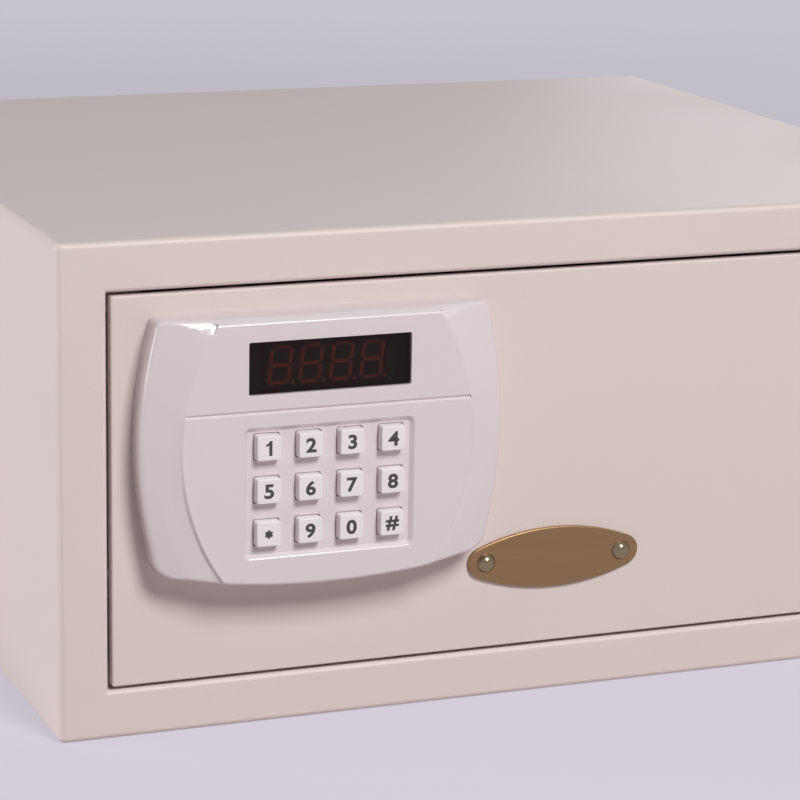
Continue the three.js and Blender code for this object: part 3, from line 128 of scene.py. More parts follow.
class SafeColours(bpy.types.PropertyGroup):
    """Colours of the finishes."""

    paint: tint("Paint", "Powder coat of the case and the door", 223, 210, 206)
    housing: tint("Housing", "Plastic of the keypad housing", 224, 213, 215)
    key: tint("Keys", "Plastic of the key caps", 240, 234, 236)
    symbol: tint("Symbols", "Ink of the figures on the keys", 66, 64, 66)
    lens: tint("Display window", "Smoked plastic over the display", 34, 20, 18)
    segment: tint("Display segments", "Unlit segments behind the window", 205, 78, 64)
    brass: tint("Brass", "Brass of the cover plate", 158, 128, 92)
    floor_near: tint("Floor, near", "Colour of the floor in front of the safe", 221, 216, 233)
    floor_far: tint("Floor, far", "Colour of the floor behind the safe", 199, 196, 206)


class SafeStage(bpy.types.PropertyGroup):
    """Where the camera stands and how strong the lights are."""

    azimuth: angle("Azimuth", "Turn of the camera round the safe", -21.683)
    elevation: angle("Elevation", "Height of the camera over the safe, as an angle", 13.818)
    roll: angle("Roll", "Tilt of the camera about its own axis", 1.009)
    distance: FloatProperty(
        name="Distance", description="From the camera to the point that it looks at",
        default=1.23226, min=0.1, unit="LENGTH")
    target: FloatVectorProperty(
        name="Target", description="The point that the camera looks at",
        default=(-0.0689126, -0.185, 0.1292002), subtype="XYZ", unit="LENGTH")
    lens: FloatProperty(
        name="Lens", description="Focal length in millimetres on a 36 mm sensor",
        default=138.93, min=10)
    key_power: power("Key light", "Power of the soft light above and to the right", 84)
    side_power: power("Side light", "Power of the soft light on the left, behind the front", 53)
    back_power: power("Back light", "Power of the soft light behind the safe", 9)
    sky: FloatProperty(
        name="Room light", description="Strength of the even light from all round",
        default=0.05, min=0)


# Nodes and finishes


def put(tree, kind, inputs=None, **settings):
    """A node with its settings, and its inputs linked to sockets or set to values."""
    node = tree.nodes.new(kind)
    for key, value in settings.items():
        setattr(node, key, value)
    for key, value in (inputs or {}).items():
        if isinstance(value, bpy.types.NodeSocket):
            tree.links.new(value, node.inputs[key])
        else:
            node.inputs[key].default_value = value
    return node


def calc(tree, operation, *values):
    """The result of a sum on sockets or numbers."""
    return put(tree, "ShaderNodeMath", dict(enumerate(values)), operation=operation).outputs[0]


def mixed(tree, factor, low, high):
    """A colour between two colours or sockets, by a factor that changes over the surface."""
    low, high = (c if isinstance(c, bpy.types.NodeSocket) else (*c, 1) for c in (low, high))
    return put(tree, "ShaderNodeMix", {0: factor, 6: low, 7: high}, data_type="RGBA").outputs[2]


def ranged(tree, value, low, high, start=0.0, end=1.0):
    """A value from start to end stretched to run from low to high."""
    return put(tree, "ShaderNodeMapRange", {
        "Value": value, "From Min": start, "From Max": end,
        "To Min": low, "To Max": high}).outputs[0]


def own_place(tree):
    """The place on the surface in the object's own coordinates."""
    return put(tree, "ShaderNodeTexCoord").outputs["Object"]


def new_group(name, kind, inputs, outputs):
    """An empty node group with named sockets, its inputs' sockets and its output node."""
    tree = bpy.data.node_groups.new(name, kind)
    for socket_name, socket_type, default in inputs:
        socket = tree.interface.new_socket(
            socket_name, in_out="INPUT", socket_type=f"NodeSocket{socket_type}")
        if default is not None:
            socket.default_value = default
    for socket_name, socket_type in outputs:
        tree.interface.new_socket(
            socket_name, in_out="OUTPUT", socket_type=f"NodeSocket{socket_type}")
    return tree, tree.nodes.new("NodeGroupInput").outputs, tree.nodes.new("NodeGroupOutput")


# Each shared group: its setting and the default of that, and its outputs for tone and relief
EFFECTS = {
    "stipple": ("Grain", 900.0, "Patches", "Height"),
    "streaks": ("Fineness", 2500.0, "Lines", "Height"),
    "tarnish": ("Size", 60.0, "Clouds", "Spots"),
}


def effect_group(name):
    """A shared group.

    Stipple is the orange peel of powder coat and mouldings, with faint cloudy patches. Streaks are
    the long scratches of drawn metal, along local X. Tarnish is the clouds and spots of plating."""
    setting, default, tone, relief = EFFECTS[name]
    tree, source, result = new_group(
        name, "ShaderNodeTree", [("Vector", "Vector", None), (setting, "Float", default)],
        [(tone, "Float"), (relief, "Float")])
    place, scale = source["Vector"], source[setting]
    if name == "streaks":
        place = put(tree, "ShaderNodeVectorMath", {0: place, 1: (0.02, 1.0, 1.0)},
                    operation="MULTIPLY").outputs[0]
    noises = {
        "stipple": {tone: {"Scale": 9.0, "Detail": 2.0}, relief: {"Scale": scale, "Detail": 2.0}},
        "streaks": {tone: {"Scale": 380.0, "Detail": 3.0}, relief: {"Scale": scale, "Detail": 1.0}},
        "tarnish": {tone: {"Scale": scale, "Detail": 4.0, "Roughness": 0.6}},
    }[name]
    for output, values in noises.items():
        node = put(tree, "ShaderNodeTexNoise", {"Vector": place, **values})
        tree.links.new(node.outputs[0], result.inputs[output])
    if name == "tarnish":
        spots = put(tree, "ShaderNodeTexVoronoi", {"Vector": place, "Scale": 420.0}, feature="F1")
        tree.links.new(spots.outputs[0], result.inputs[relief])
    return tree


def shared(tree, name, value):
    """The tone and the relief of a shared group, placed in a material with its own setting."""
    node = put(tree, "ShaderNodeGroup",
               node_tree=bpy.data.node_groups.get(name) or effect_group(name))
    tree.links.new(own_place(tree), node.inputs["Vector"])
    setting, _, tone, relief = EFFECTS[name]
    node.inputs[setting].default_value = value
    return node.outputs[tone], node.outputs[relief]


def new_material(name, **values):
    """A material with only its shader, whose plain values are set on its own sockets."""
    material = bpy.data.materials.new(name)
    material.use_nodes = True
    shader = material.node_tree.nodes["Principled BSDF"]
    for key, value in values.items():
        shader.inputs[key.replace("_", " ").title().replace("Ior", "IOR")].default_value = value
    return material, material.node_tree, shader


def toned(tree, shader, colour, roughness, bump=None):
    """Links a shader's colour, its roughness and a bump's height, distance and strength."""
    tree.links.new(colour, shader.inputs["Base Color"])
    tree.links.new(roughness, shader.inputs["Roughness"])
    if bump:
        node = put(tree, "ShaderNodeBump", dict(zip(("Height", "Distance", "Strength"), bump)))
        tree.links.new(node.outputs[0], shader.inputs["Normal"])


def varied(tree, factor, colour, spread):
    """A colour that is a little darker and lighter by a factor."""
    low, high = (tuple(min(1.0, c * share) for c in colour) for share in (1 - spread, 1 + spread))
    return mixed(tree, factor, low, high)


# How far each effect takes a roughness down and up, and how strong its bump is
WEAR = {"stipple": (-0.06, 0.06, 1.0), "tarnish": (0.1, -0.08, 0.4), "streaks": (-0.07, 0.09, 0.7)}


def worn(name, effect, colour, roughness, setting, depth, spread, **values):
    """A finish whose tone, gloss and relief follow one of the shared groups."""
    low, high, strength = WEAR[effect]
    material, tree, shader = new_material(name, metallic=float(effect != "stipple"), **values)
    tone, relief = shared(tree, effect, setting)
    toned(tree, shader, varied(tree, tone, colour, spread),
          ranged(tree, tone, roughness + low, roughness + high), (relief, depth * MM, strength))
    return material


def felt_finish(name):
    material, tree, shader = new_material(name, sheen_weight=0.6, sheen_roughness=0.5)
    patches, grain = shared(tree, "stipple", 1400.0)
    toned(tree, shader, mixed(tree, grain, srgb(52, 53, 60), srgb(98, 98, 106)),
          ranged(tree, patches, 0.85, 1.0), (grain, 0.5 * MM, 1.0))
    return material


def lens_finish(name, colour):
    """Smoked plastic that lets a little of the display through, with faint rub marks."""
    material, tree, shader = new_material(name, alpha=0.5, ior=1.49, specular_ior_level=0.25)
    patches, _ = shared(tree, "stipple", 300.0)
    toned(tree, shader, varied(tree, patches, colour, 0.1), ranged(tree, patches, 0.12, 0.2))
    return material


def far_from(tree, axis, middle, reach):
    """1 where the surface is farther than a reach from a plane, and 0 elsewhere."""
    split = put(tree, "ShaderNodeSeparateXYZ", {0: own_place(tree)})
    away = calc(tree, "ABSOLUTE", calc(tree, "SUBTRACT", split.outputs[axis], middle))
    return calc(tree, "GREATER_THAN", away, reach)


def board_finish(name, sheet_y):
    """Circuit board: solder mask with tracks and pads, and dark parts on either side of it."""
    material, tree, shader = new_material(name)
    flat = put(tree, "ShaderNodeMapping", {
        "Vector": own_place(tree), "Rotation": (math.radians(90), 0, 0)})
    tracks = put(tree, "ShaderNodeTexBrick", {
        "Vector": flat.outputs[0], "Scale": 160.0, "Mortar Size": 0.012,
        "Color1": (*srgb(26, 92, 54), 1), "Color2": (*srgb(30, 98, 58), 1),
        "Mortar": (*srgb(58, 132, 84), 1)}, offset=0.37, squash=1.7)
    is_part = far_from(tree, "Y", sheet_y, MM)
    toned(tree, shader, mixed(tree, is_part, tracks.outputs["Color"], srgb(22, 20, 22)),
          ranged(tree, is_part, 0.35, 0.55), (tracks.outputs["Fac"], 0.04 * MM, 0.5))
    return material


def ribbon_finish(name):
    """Flat cable with its conductors showing as stripes along it."""
    material, tree, shader = new_material(name)
    stripes = put(tree, "ShaderNodeTexWave", {"Vector": own_place(tree), "Scale": 255.0},
                  bands_direction="Z").outputs["Fac"]
    toned(tree, shader, mixed(tree, stripes, srgb(112, 114, 120), srgb(178, 180, 186)),
          ranged(tree, stripes, 0.5, 0.65), (stripes, 0.1 * MM, 0.6))
    return material


def cell_finish(name, cell):
    """Battery wrap with bare metal at both ends."""
    material, tree, shader = new_material(name)
    is_end = far_from(tree, "Z", cell.z, cell.height / 2 - 1.6 * MM)
    patches, _ = shared(tree, "stipple", 500.0)
    wrap = mixed(tree, patches, srgb(44, 60, 92), srgb(56, 74, 110))
    toned(tree, shader, mixed(tree, is_end, wrap, srgb(188, 188, 190)),
          ranged(tree, patches, 0.25, 0.4))
    tree.links.new(is_end, shader.inputs["Metallic"])
    return material


def finish(kind):
    """One of the finishes, made when it is first asked for, under a name the solids don't use."""
    name = f"{kind}_finish"
    ready = bpy.data.materials.get(name)
    if ready:
        return ready
    colours = bpy.context.scene.safe_colours
    # The effect, colour, roughness, the effect's setting, its relief in mm and the spread of tone
    plain = {
        "case_paint": ("stipple", colours.paint, 0.48, 900.0, 0.035, 0.02),
        "housing_plastic": ("stipple", colours.housing, 0.32, 1500.0, 0.012, 0.012),
        "key_plastic": ("stipple", colours.key, 0.36, 1800.0, 0.008, 0.012),
        "key_ink": ("stipple", colours.symbol, 0.5, 2400.0, 0.01, 0.08),
        "segment_red": ("stipple", colours.segment, 0.5, 700.0, 0.01, 0.05),
        "dark_plastic": ("stipple", srgb(40, 40, 44), 0.5, 1100.0, 0.03, 0.15),
        "silicone": ("stipple", srgb(146, 149, 153), 0.75, 700.0, 0.02, 0.05),
        "black_rubber": ("stipple", srgb(34, 34, 36), 0.85, 800.0, 0.06, 0.2),
        "brass": ("streaks", colours.brass, 0.36, 2600.0, 0.012, 0.1),
        "polished_steel": ("streaks", srgb(205, 203, 198), 0.2, 3200.0, 0.006, 0.05),
        # The screws' nickel is set dark as a painted dark reflection: it stands in for the dark
        # room that the polished domes would mirror.
        "nickel_with_painted_dark_reflection": ("tarnish", srgb(150, 138, 108), 0.14, 90.0, 0.02, 0.06),
        "zinc_steel": ("tarnish", srgb(182, 184, 186), 0.36, 55.0, 0.02, 0.12),
        "bronze": ("tarnish", srgb(168, 124, 72), 0.34, 120.0, 0.02, 0.1),
    }
    if kind in plain:
        gloss = {"coat_weight": 0.6, "coat_roughness": 0.12} if kind == "housing_plastic" else {}
        return worn(name, *plain[kind], **gloss)
    makers = {
        "smoked_lens": lambda: lens_finish(name, colours.lens),
        "felt": lambda: felt_finish(name),
        "ribbon_grey": lambda: ribbon_finish(name),
        "keypad_board": lambda: board_finish(name, Box("keypad_board").high.y - 3.2 * MM),
        "control_board": lambda: board_finish(name, Box("control_board").low.y + 0.8 * MM),
        "cell_wrap": lambda: cell_finish(name, Box(CELLS[0])),
    }
    if kind not in makers:
        raise ValueError(f"there is no finish named {kind}")
    return makers[kind]()


# Meshes


class Box:
    """A solid's box: its two corners, its middle and its size."""

    def __init__(self, node):
        self.low, self.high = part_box(node)
        self.x, self.y, self.z = ((a + b) / 2 for a, b in zip(self.low, self.high))
        self.width, self.depth, self.height = (b - a for a, b in zip(self.low, self.high))
        self.centre = (self.x, self.z)


def lofted(rings, is_loop=False):
    """A closed shape through rings of as many points each, with flat ends or joined round."""
    shape = bmesh.new()
    rows = [[shape.verts.new(point) for point in ring] for ring in rings]
    for row, following in zip(rows, rows[1:] + rows[:1] if is_loop else rows[1:]):
        bridge(shape, row, following)
    if not is_loop:
        shape.faces.new(rows[0])
        shape.faces.new(rows[-1])
    bmesh.ops.recalc_face_normals(shape, faces=shape.faces)
    return shape


def bridge(shape, first, second):
    """Quads between two loops of as many vertices."""
    for i in range(len(first)):
        j = (i + 1) % len(first)
        shape.faces.new((first[i], first[j], second[j], second[i]))


def turned(profile, steps=ROUND):
    """A solid of revolution about Y; the profile lists (radius, y) from one end to the other."""
    shape = bmesh.new()
    rows = []
    for radius, y in profile:
        turns = [2 * math.pi * i / steps for i in range(1 if radius < 1e-7 else steps)]
        rows.append([
            shape.verts.new((radius * math.cos(turn), y, radius * math.sin(turn)))
            for turn in turns])
    for row, following in zip(rows, rows[1:]):
        for i in range(steps):
            j = (i + 1) % steps
            corners = list(dict.fromkeys((
                row[i % len(row)], row[j % len(row)],
                following[j % len(following)], following[i % len(following)])))
            if len(corners) > 2:
                shape.faces.new(corners)
    bmesh.ops.recalc_face_normals(shape, faces=shape.faces)
    return shape


def arc(centre, radius, start, end, steps):
    """Points (u, v) along an arc, with angles in degrees."""
    angles = [math.radians(start + (end - start) * i / steps) for i in range(steps + 1)]
    return [(centre[0] + radius * math.cos(a), centre[1] + radius * math.sin(a)) for a in angles]


def rounded_box(width, height, radius, steps=6):
    """A rounded rectangle about the origin, counter-clockwise."""
    a, b = width / 2 - radius, height / 2 - radius
    points = []
    for quarter, corner in enumerate([(a, b), (-a, b), (-a, -b), (a, -b)]):
        points += arc(corner, radius, 90 * quarter, 90 * quarter + 90, steps)
    return points


def ring_xz(outline, y, centre=(0, 0)):
    return [(centre[0] + u, y, centre[1] + v) for u, v in outline]


def bent(radius, y, steps, towards=1):
    """Stations (inset, y) round a bend that ends in a face at y; towards is -1 for a rear face."""
    return [(radius - radius * math.cos(a), y + towards * (radius - radius * math.sin(a)))
            for a in (math.radians(90 * i / steps) for i in range(steps + 1))]


def box_rings(stations, box, corner, steps):
    """Rings of a rounded plate in XZ: stations give inset and y, and corner the radius."""
    return [ring_xz(rounded_box(
        box.width - 2 * inset, box.height - 2 * inset,
        corner(inset) if callable(corner) else corner, steps), y, box.centre)
        for inset, y in stations]


def moved(shape, *steps):
    """Moves a shape by a place or a matrix, the last one first."""
    for step in reversed(steps):
        matrix = step if isinstance(step, Matrix) else Matrix.Translation(step)
        bmesh.ops.transform(shape, matrix=matrix, verts=shape.verts)
    return shape


def as_object(name, *shapes):
    """One object from one or more shapes, with the shapes' coordinates as they are."""
    whole = bmesh.new()
    for shape in shapes:
        part = bpy.data.meshes.new("part")
        shape.to_mesh(part)
        shape.free()
        whole.from_mesh(part)
        bpy.data.meshes.remove(part)
    mesh = bpy.data.meshes.new(name)
    whole.to_mesh(mesh)
    whole.free()
    thing = bpy.data.objects.new(name, mesh)
    bpy.context.scene.collection.objects.link(thing)
    return thing


def settled(thing):
    """Applies an object's modifiers and keeps the result as its plain mesh."""
    bpy.context.view_layer.update()
    graph = bpy.context.evaluated_depsgraph_get()
    result = bpy.data.meshes.new_from_object(
        thing.evaluated_get(graph), preserve_all_data_layers=True, depsgraph=graph)
    before = thing.data
    thing.modifiers.clear()
    thing.data = result
    result.name = thing.name
    bpy.data.meshes.remove(before)
    return thing


def changed(thing, kind, **settings):
    """Applies one modifier with its settings."""
    modifier = thing.modifiers.new(kind.lower(), kind)
    for key, value in settings.items():
        setattr(modifier, key, value)
    return settled(thing)


def carved(thing, *cutters):
    """Takes the cutters' shapes out of an object."""
    tool = as_object("cutter", *cutters)
    changed(thing, "BOOLEAN", operation="DIFFERENCE", solver="EXACT", object=tool)
    bpy.data.objects.remove(tool)
    return thing


def dressed(thing, kind, body, *replaced, slot=None, sharp=32, bevel=None):
    """Softens an object's edges, shades it, gives it its finish and sets it on its body."""
    sharp = math.radians(sharp)
    if bevel:
        changed(thing, "BEVEL", width=bevel, segments=2, limit_method="ANGLE",
                angle_limit=sharp, use_clamp_overlap=True)
    thing.data.shade_smooth()
    thing.data.set_sharp_from_angle(angle=sharp)
    changed(thing, "WEIGHTED_NORMAL", keep_sharp=True)
    if not thing.data.materials:
        thing.data.materials.append(finish(kind))
    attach(thing, body)
    if replaced:
        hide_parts(*replaced)
    return thing


def copied(name, node):
    """A CAD node's shape as a new object, with its triangles merged into faces."""
    shape = bmesh.new()
    shape.from_mesh(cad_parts[node].data)
    bmesh.ops.remove_doubles(shape, verts=shape.verts, dist=0.002 * MM)
    bmesh.ops.dissolve_limit(
        shape, angle_limit=math.radians(0.6), verts=shape.verts, edges=shape.edges)
    return as_object(name, shape)


def drill(axis, u, v, radius, start, end):
    """A round cutter along an axis, through (u, v) on the other two."""
    shape = turned([(0, start), (radius, start), (radius, end), (0, end)])
    place, turn = {
        "x": ((0, u, v), Matrix.Rotation(math.radians(-90), 4, "Z")),
        "y": ((u, 0, v), Matrix.Identity(4)),
        "z": ((u, v, 0), UPRIGHT),
    }[axis]
    return moved(shape, Matrix.Translation(place) @ turn)


def bore(axis, box, radius, start, end):
    """A round cutter along an axis, through the middle of a box."""
    u, v = {"x": (box.y, box.z), "y": (box.x, box.z), "z": (box.x, box.y)}[axis]
    return drill(axis, u, v, radius, start, end)


# Geometry Nodes


def repeat_tree(name):
    """Repeats what it is given: in a row, turning every second copy over if asked, or along a
    rectangle, each copy turned along its side."""
    own = {
        "row": [("Count", "Int", 2), ("Step", "Vector", (0.01, 0.0, 0.0)), ("Turn", "Float", 0.0)],
        "along_frame": [
            ("Width", "Float", 0.4), ("Height", "Float", 0.2), ("Spacing", "Float", 0.05)],
    }[name]
    tree, source, result = new_group(
        name, "GeometryNodeTree",
        [("Geometry", "Geometry", None), *own, ("Material", "Material", None)],
        [("Geometry", "Geometry")])
    if name == "row":
        line = put(tree, "GeometryNodeMeshLine", {
            "Count": source["Count"], "Offset": source["Step"]})
        index = put(tree, "GeometryNodeInputIndex").outputs[0]
        turn = calc(tree, "MULTIPLY", calc(tree, "MODULO", index, 2.0), source["Turn"])
        places = line.outputs[0], put(tree, "ShaderNodeCombineXYZ", {"Y": turn}).outputs[0]
    else:
        outline = put(tree, "GeometryNodeCurvePrimitiveQuadrilateral", {
            "Width": source["Width"], "Height": source["Height"]})
        points = put(tree, "GeometryNodeCurveToPoints", {
            "Curve": outline.outputs[0], "Length": source["Spacing"]}, mode="LENGTH")
        places = points.outputs["Points"], points.outputs["Rotation"]
    copies = put(tree, "GeometryNodeInstanceOnPoints", {
        "Points": places[0], "Instance": source["Geometry"], "Rotation": places[1]})
    real = put(tree, "GeometryNodeRealizeInstances", {"Geometry": copies.outputs[0]})
    painted = put(tree, "GeometryNodeSetMaterial", {
        "Geometry": real.outputs[0], "Material": source["Material"]})
    tree.links.new(painted.outputs[0], result.inputs["Geometry"])
    return tree


def repeated(thing, tree_name, kind, **values):
    """Runs a Geometry Nodes tree on an object and keeps the result as its plain mesh."""
    tree = bpy.data.node_groups.get(tree_name) or repeat_tree(tree_name)
    modifier = thing.modifiers.new(tree_name, "NODES")
    modifier.node_group = tree
    sockets = {
        item.name.lower(): item.identifier for item in tree.interface.items_tree
        if item.item_type == "SOCKET" and item.in_out == "INPUT"
    }
    for key, value in (*values.items(), ("material", finish(kind))):
        modifier[sockets[key]] = value
    return settled(thing)


# Case


class SAFE_OT_case(bpy.types.Operator):
    """Make the folded case with its bends, front band, lip and anchor holes"""

    bl_idname = "safe.case"
    bl_label = "Case"

    def execute(self, context):
        sizes = context.scene.safe_sizes
        box = Box("case_wrap")
        front, rear = box.low.y, box.high.y
        sheet, band, bend = sizes.wall_sheet, sizes.band_width, sizes.corner_bend
        stations = [(0, rear), *bent(bend, front, 10)]
        stations += reversed([(band - inset, y) for inset, y in bent(sizes.doorway_bend, front, 8)])
        stations += [
            (band, front + sizes.lip_depth), (band - sheet, front + sizes.lip_depth),
            (band - sheet, front + sheet), (sheet, front + sheet), (sheet, rear)]
        case = as_object("case_shell", lofted(box_rings(
            stations, box, lambda inset: max(bend - inset, 0.5 * MM), 8), is_loop=True))
        carved(case, *(drill("z", x, BASE_ANCHOR_BACK, ANCHOR_RADIUS, -3 * MM, MM)
                       for x in ANCHOR_XS))
        dressed(case, "case_paint", "case", "case_wrap")
        return {"FINISHED"}


class SAFE_OT_doorway_liner(bpy.types.Operator):
    """Make the doorway's liner with its bolt holes and pin holes"""

    bl_idname = "safe.doorway_liner"
    bl_label = "Doorway liner"

    def execute(self, context):
        sheet = context.scene.safe_sizes.wall_sheet
        box = Box("doorway_liner")
        low, high, soft = box.low, box.high, 0.2 * MM
        stations = [(soft, low.y), (0, low.y + soft), (0, high.y - soft), (soft, high.y),
                    (sheet - soft, high.y), (sheet, high.y - soft), (sheet, low.y + soft),
                    (sheet - soft, low.y)]
        liner = as_object("liner_shell", lofted(
            box_rings(stations, box, 0.5 * MM, 8), is_loop=True))
        cutters = []
        for bolt in (Box("bolt_top"), Box("bolt_bottom")):
            cutters.append(bore(
                "x", bolt, bolt.height / 2 + 1.5 * MM, low.x - MM, low.x + sheet + MM))
        for node, level in (("hinge_pin_bottom", low.z + MM), ("hinge_pin_top", high.z - MM)):
            cutters.append(bore(
                "z", Box(node), 2.7 * MM, -level - 2.5 * MM, -level + 2.5 * MM))
        carved(liner, *cutters)
        dressed(liner, "case_paint", "case", "doorway_liner")
        return {"FINISHED"}


class SAFE_OT_back_panel(bpy.types.Operator):
    """Make the back panel with its anchor holes, and the weld tacks that hold it"""

    bl_idname = "safe.back_panel"
    bl_label = "Back panel"

    def execute(self, context):
        box = Box("back_panel")
        front, rear = box.low.y, box.high.y
        panel = as_object("back_sheet", lofted(
            box_rings([(0, front), (0, rear)], box, 0.5 * MM, 2)))
        carved(panel, *(drill("y", x, WALL_ANCHOR_RISE, ANCHOR_RADIUS, front - MM, rear + MM)
                        for x in ANCHOR_XS))
        dressed(panel, "case_paint", "case", "back_panel", bevel=0.2 * MM)
        bead = turned([(0, -0.5 * MM), (1.1 * MM, 0), (0.8 * MM, 0.45 * MM), (0, 0.7 * MM)], 12)
        moved(bead, Matrix.Rotation(math.pi, 4, "Z") @ Matrix.Scale(2, 4, (0, 0, 1)))
        tacks = repeated(
            as_object("weld_tacks", bead), "along_frame", "case_paint", width=box.width - MM,
            height=box.height - MM, spacing=context.scene.safe_sizes.weld_spacing)
        tacks.data.transform(Matrix.Translation((0, rear, box.z)) @ UPRIGHT)
        dressed(tacks, "case_paint", "case")
        return {"FINISHED"}


class SAFE_OT_floor_mat(bpy.types.Operator):
    """Lay the felt mat on the case's floor"""

    bl_idname = "safe.floor_mat"
    bl_label = "Floor mat"

    def execute(self, context):
        box = Box("floor_mat")
        bottom, top = box.low.z, box.high.z
        edge, corner, longest = 0.9 * MM, 8 * MM, 9 * MM
        stations = [(0, bottom), (0, top - edge), (edge * 0.3, top - edge * 0.3), (edge, top)]
        mat = as_object("felt_mat", lofted([
            [(box.x + u, box.y + v, z) for u, v in rounded_box(
                box.width - 2 * inset, box.depth - 2 * inset, corner - inset, 8)]
            for inset, z in stations]))
        carved(mat, *(drill("z", x, BASE_ANCHOR_BACK, 12 * MM, -top - MM, -bottom + MM)
                      for x in ANCHOR_XS))
        shape = bmesh.new()
        shape.from_mesh(mat.data)
        bmesh.ops.triangulate(shape, faces=shape.faces)
        for _ in range(3):
            long_edges = [e for e in shape.edges if e.calc_length() > longest]
            bmesh.ops.subdivide_edges(shape, edges=long_edges, cuts=1, use_grid_fill=True)
            bmesh.ops.triangulate(shape, faces=shape.faces)
        for vert in shape.verts:
            if vert.co.z > top - 0.01 * MM:
                vert.co.z -= 0.12 * MM * (1 + noise.noise(vert.co * 60))
        shape.to_mesh(mat.data)
        shape.free()
        dressed(mat, "felt", "case", "floor_mat", sharp=60)
        return {"FINISHED"}


# Door


class SAFE_OT_door(bpy.types.Operator):
    """Make the door plate with its soft front edge and its holes"""

    bl_idname = "safe.door"
    bl_label = "Door plate"

    def execute(self, context):
        box = Box("door_plate")
        door = as_object("door_skin", lofted(box_rings(
            [(0, box.high.y), *bent(context.scene.safe_sizes.door_edge, box.low.y, 6)],
            box, MM, 4)))
        front, back = box.low.y - MM, box.high.y + MM
        for node, radius, end in (
            ("housing_screw_left", 1.8, back), ("housing_screw_right", 1.8, back),
            ("cover_plate_screw_left", 1.75, back), ("cover_plate_screw_right", 1.75, back),
            ("override_barrel", 9.65, back), ("override_barrel", 11.5, box.low.y + 1.5 * MM),
        ):
            carved(door, bore("y", Box(node), radius * MM, front, end))
        ribbon = Box("keypad_ribbon")
        slot = rounded_box(4 * MM, 13 * MM, MM, 4)
        carved(door, lofted([
            ring_xz(slot, y, (ribbon.high.x - 0.5 * MM, ribbon.z)) for y in (front, back)]))
        dressed(door, "case_paint", "door", "door_plate")
        return {"FINISHED"}


# Keypad housing


def evenly(start, end, steps):
    """Values from start to end in equal steps."""
    return [start + (end - start) * i / steps for i in range(steps + 1)]


def box_line(x, z, size, reach, corner, steps):
    """A rounded rectangle about (x, z) that is moved out by a reach."""
    return [(x + u, z + v) for u, v in rounded_box(
        size[0] + 2 * reach, size[1] + 2 * reach, corner + reach, steps)]


def side_x(half_width, radius, rise):
    """Half the width of a shape with bowed sides, at a height from the bow's middle."""
    return half_width - (radius - math.sqrt(radius * radius - rise * rise))


def away_from_box(x, z, centre_z, width, height, radius):
    """Distance from a rounded rectangle's edge, below zero inside it."""
    across = abs(x) - (width / 2 - radius)
    along = abs(z - centre_z) - (height / 2 - radius)
    return math.hypot(max(across, 0), max(along, 0)) + min(max(across, along), 0) - radius


def eased(distance, blend):
    """A ramp that starts at zero distance, rounded over a blend to either side."""
    if distance <= -blend:
        return 0
    return distance if distance >= blend else (distance + blend) ** 2 / (4 * blend)


def eased_step(share):
    """A step from 0 to 1 that starts and ends level."""
    share = max(0, min(1, share))
    return share * share * (3 - 2 * share)


def quarter_drop(distance, radius):
    """How far a rounded edge has dropped, at a distance in from the edge."""
    if distance >= radius:
        return 0
    return radius - math.sqrt(max(radius ** 2 - (radius - max(distance, 0)) ** 2, 0))


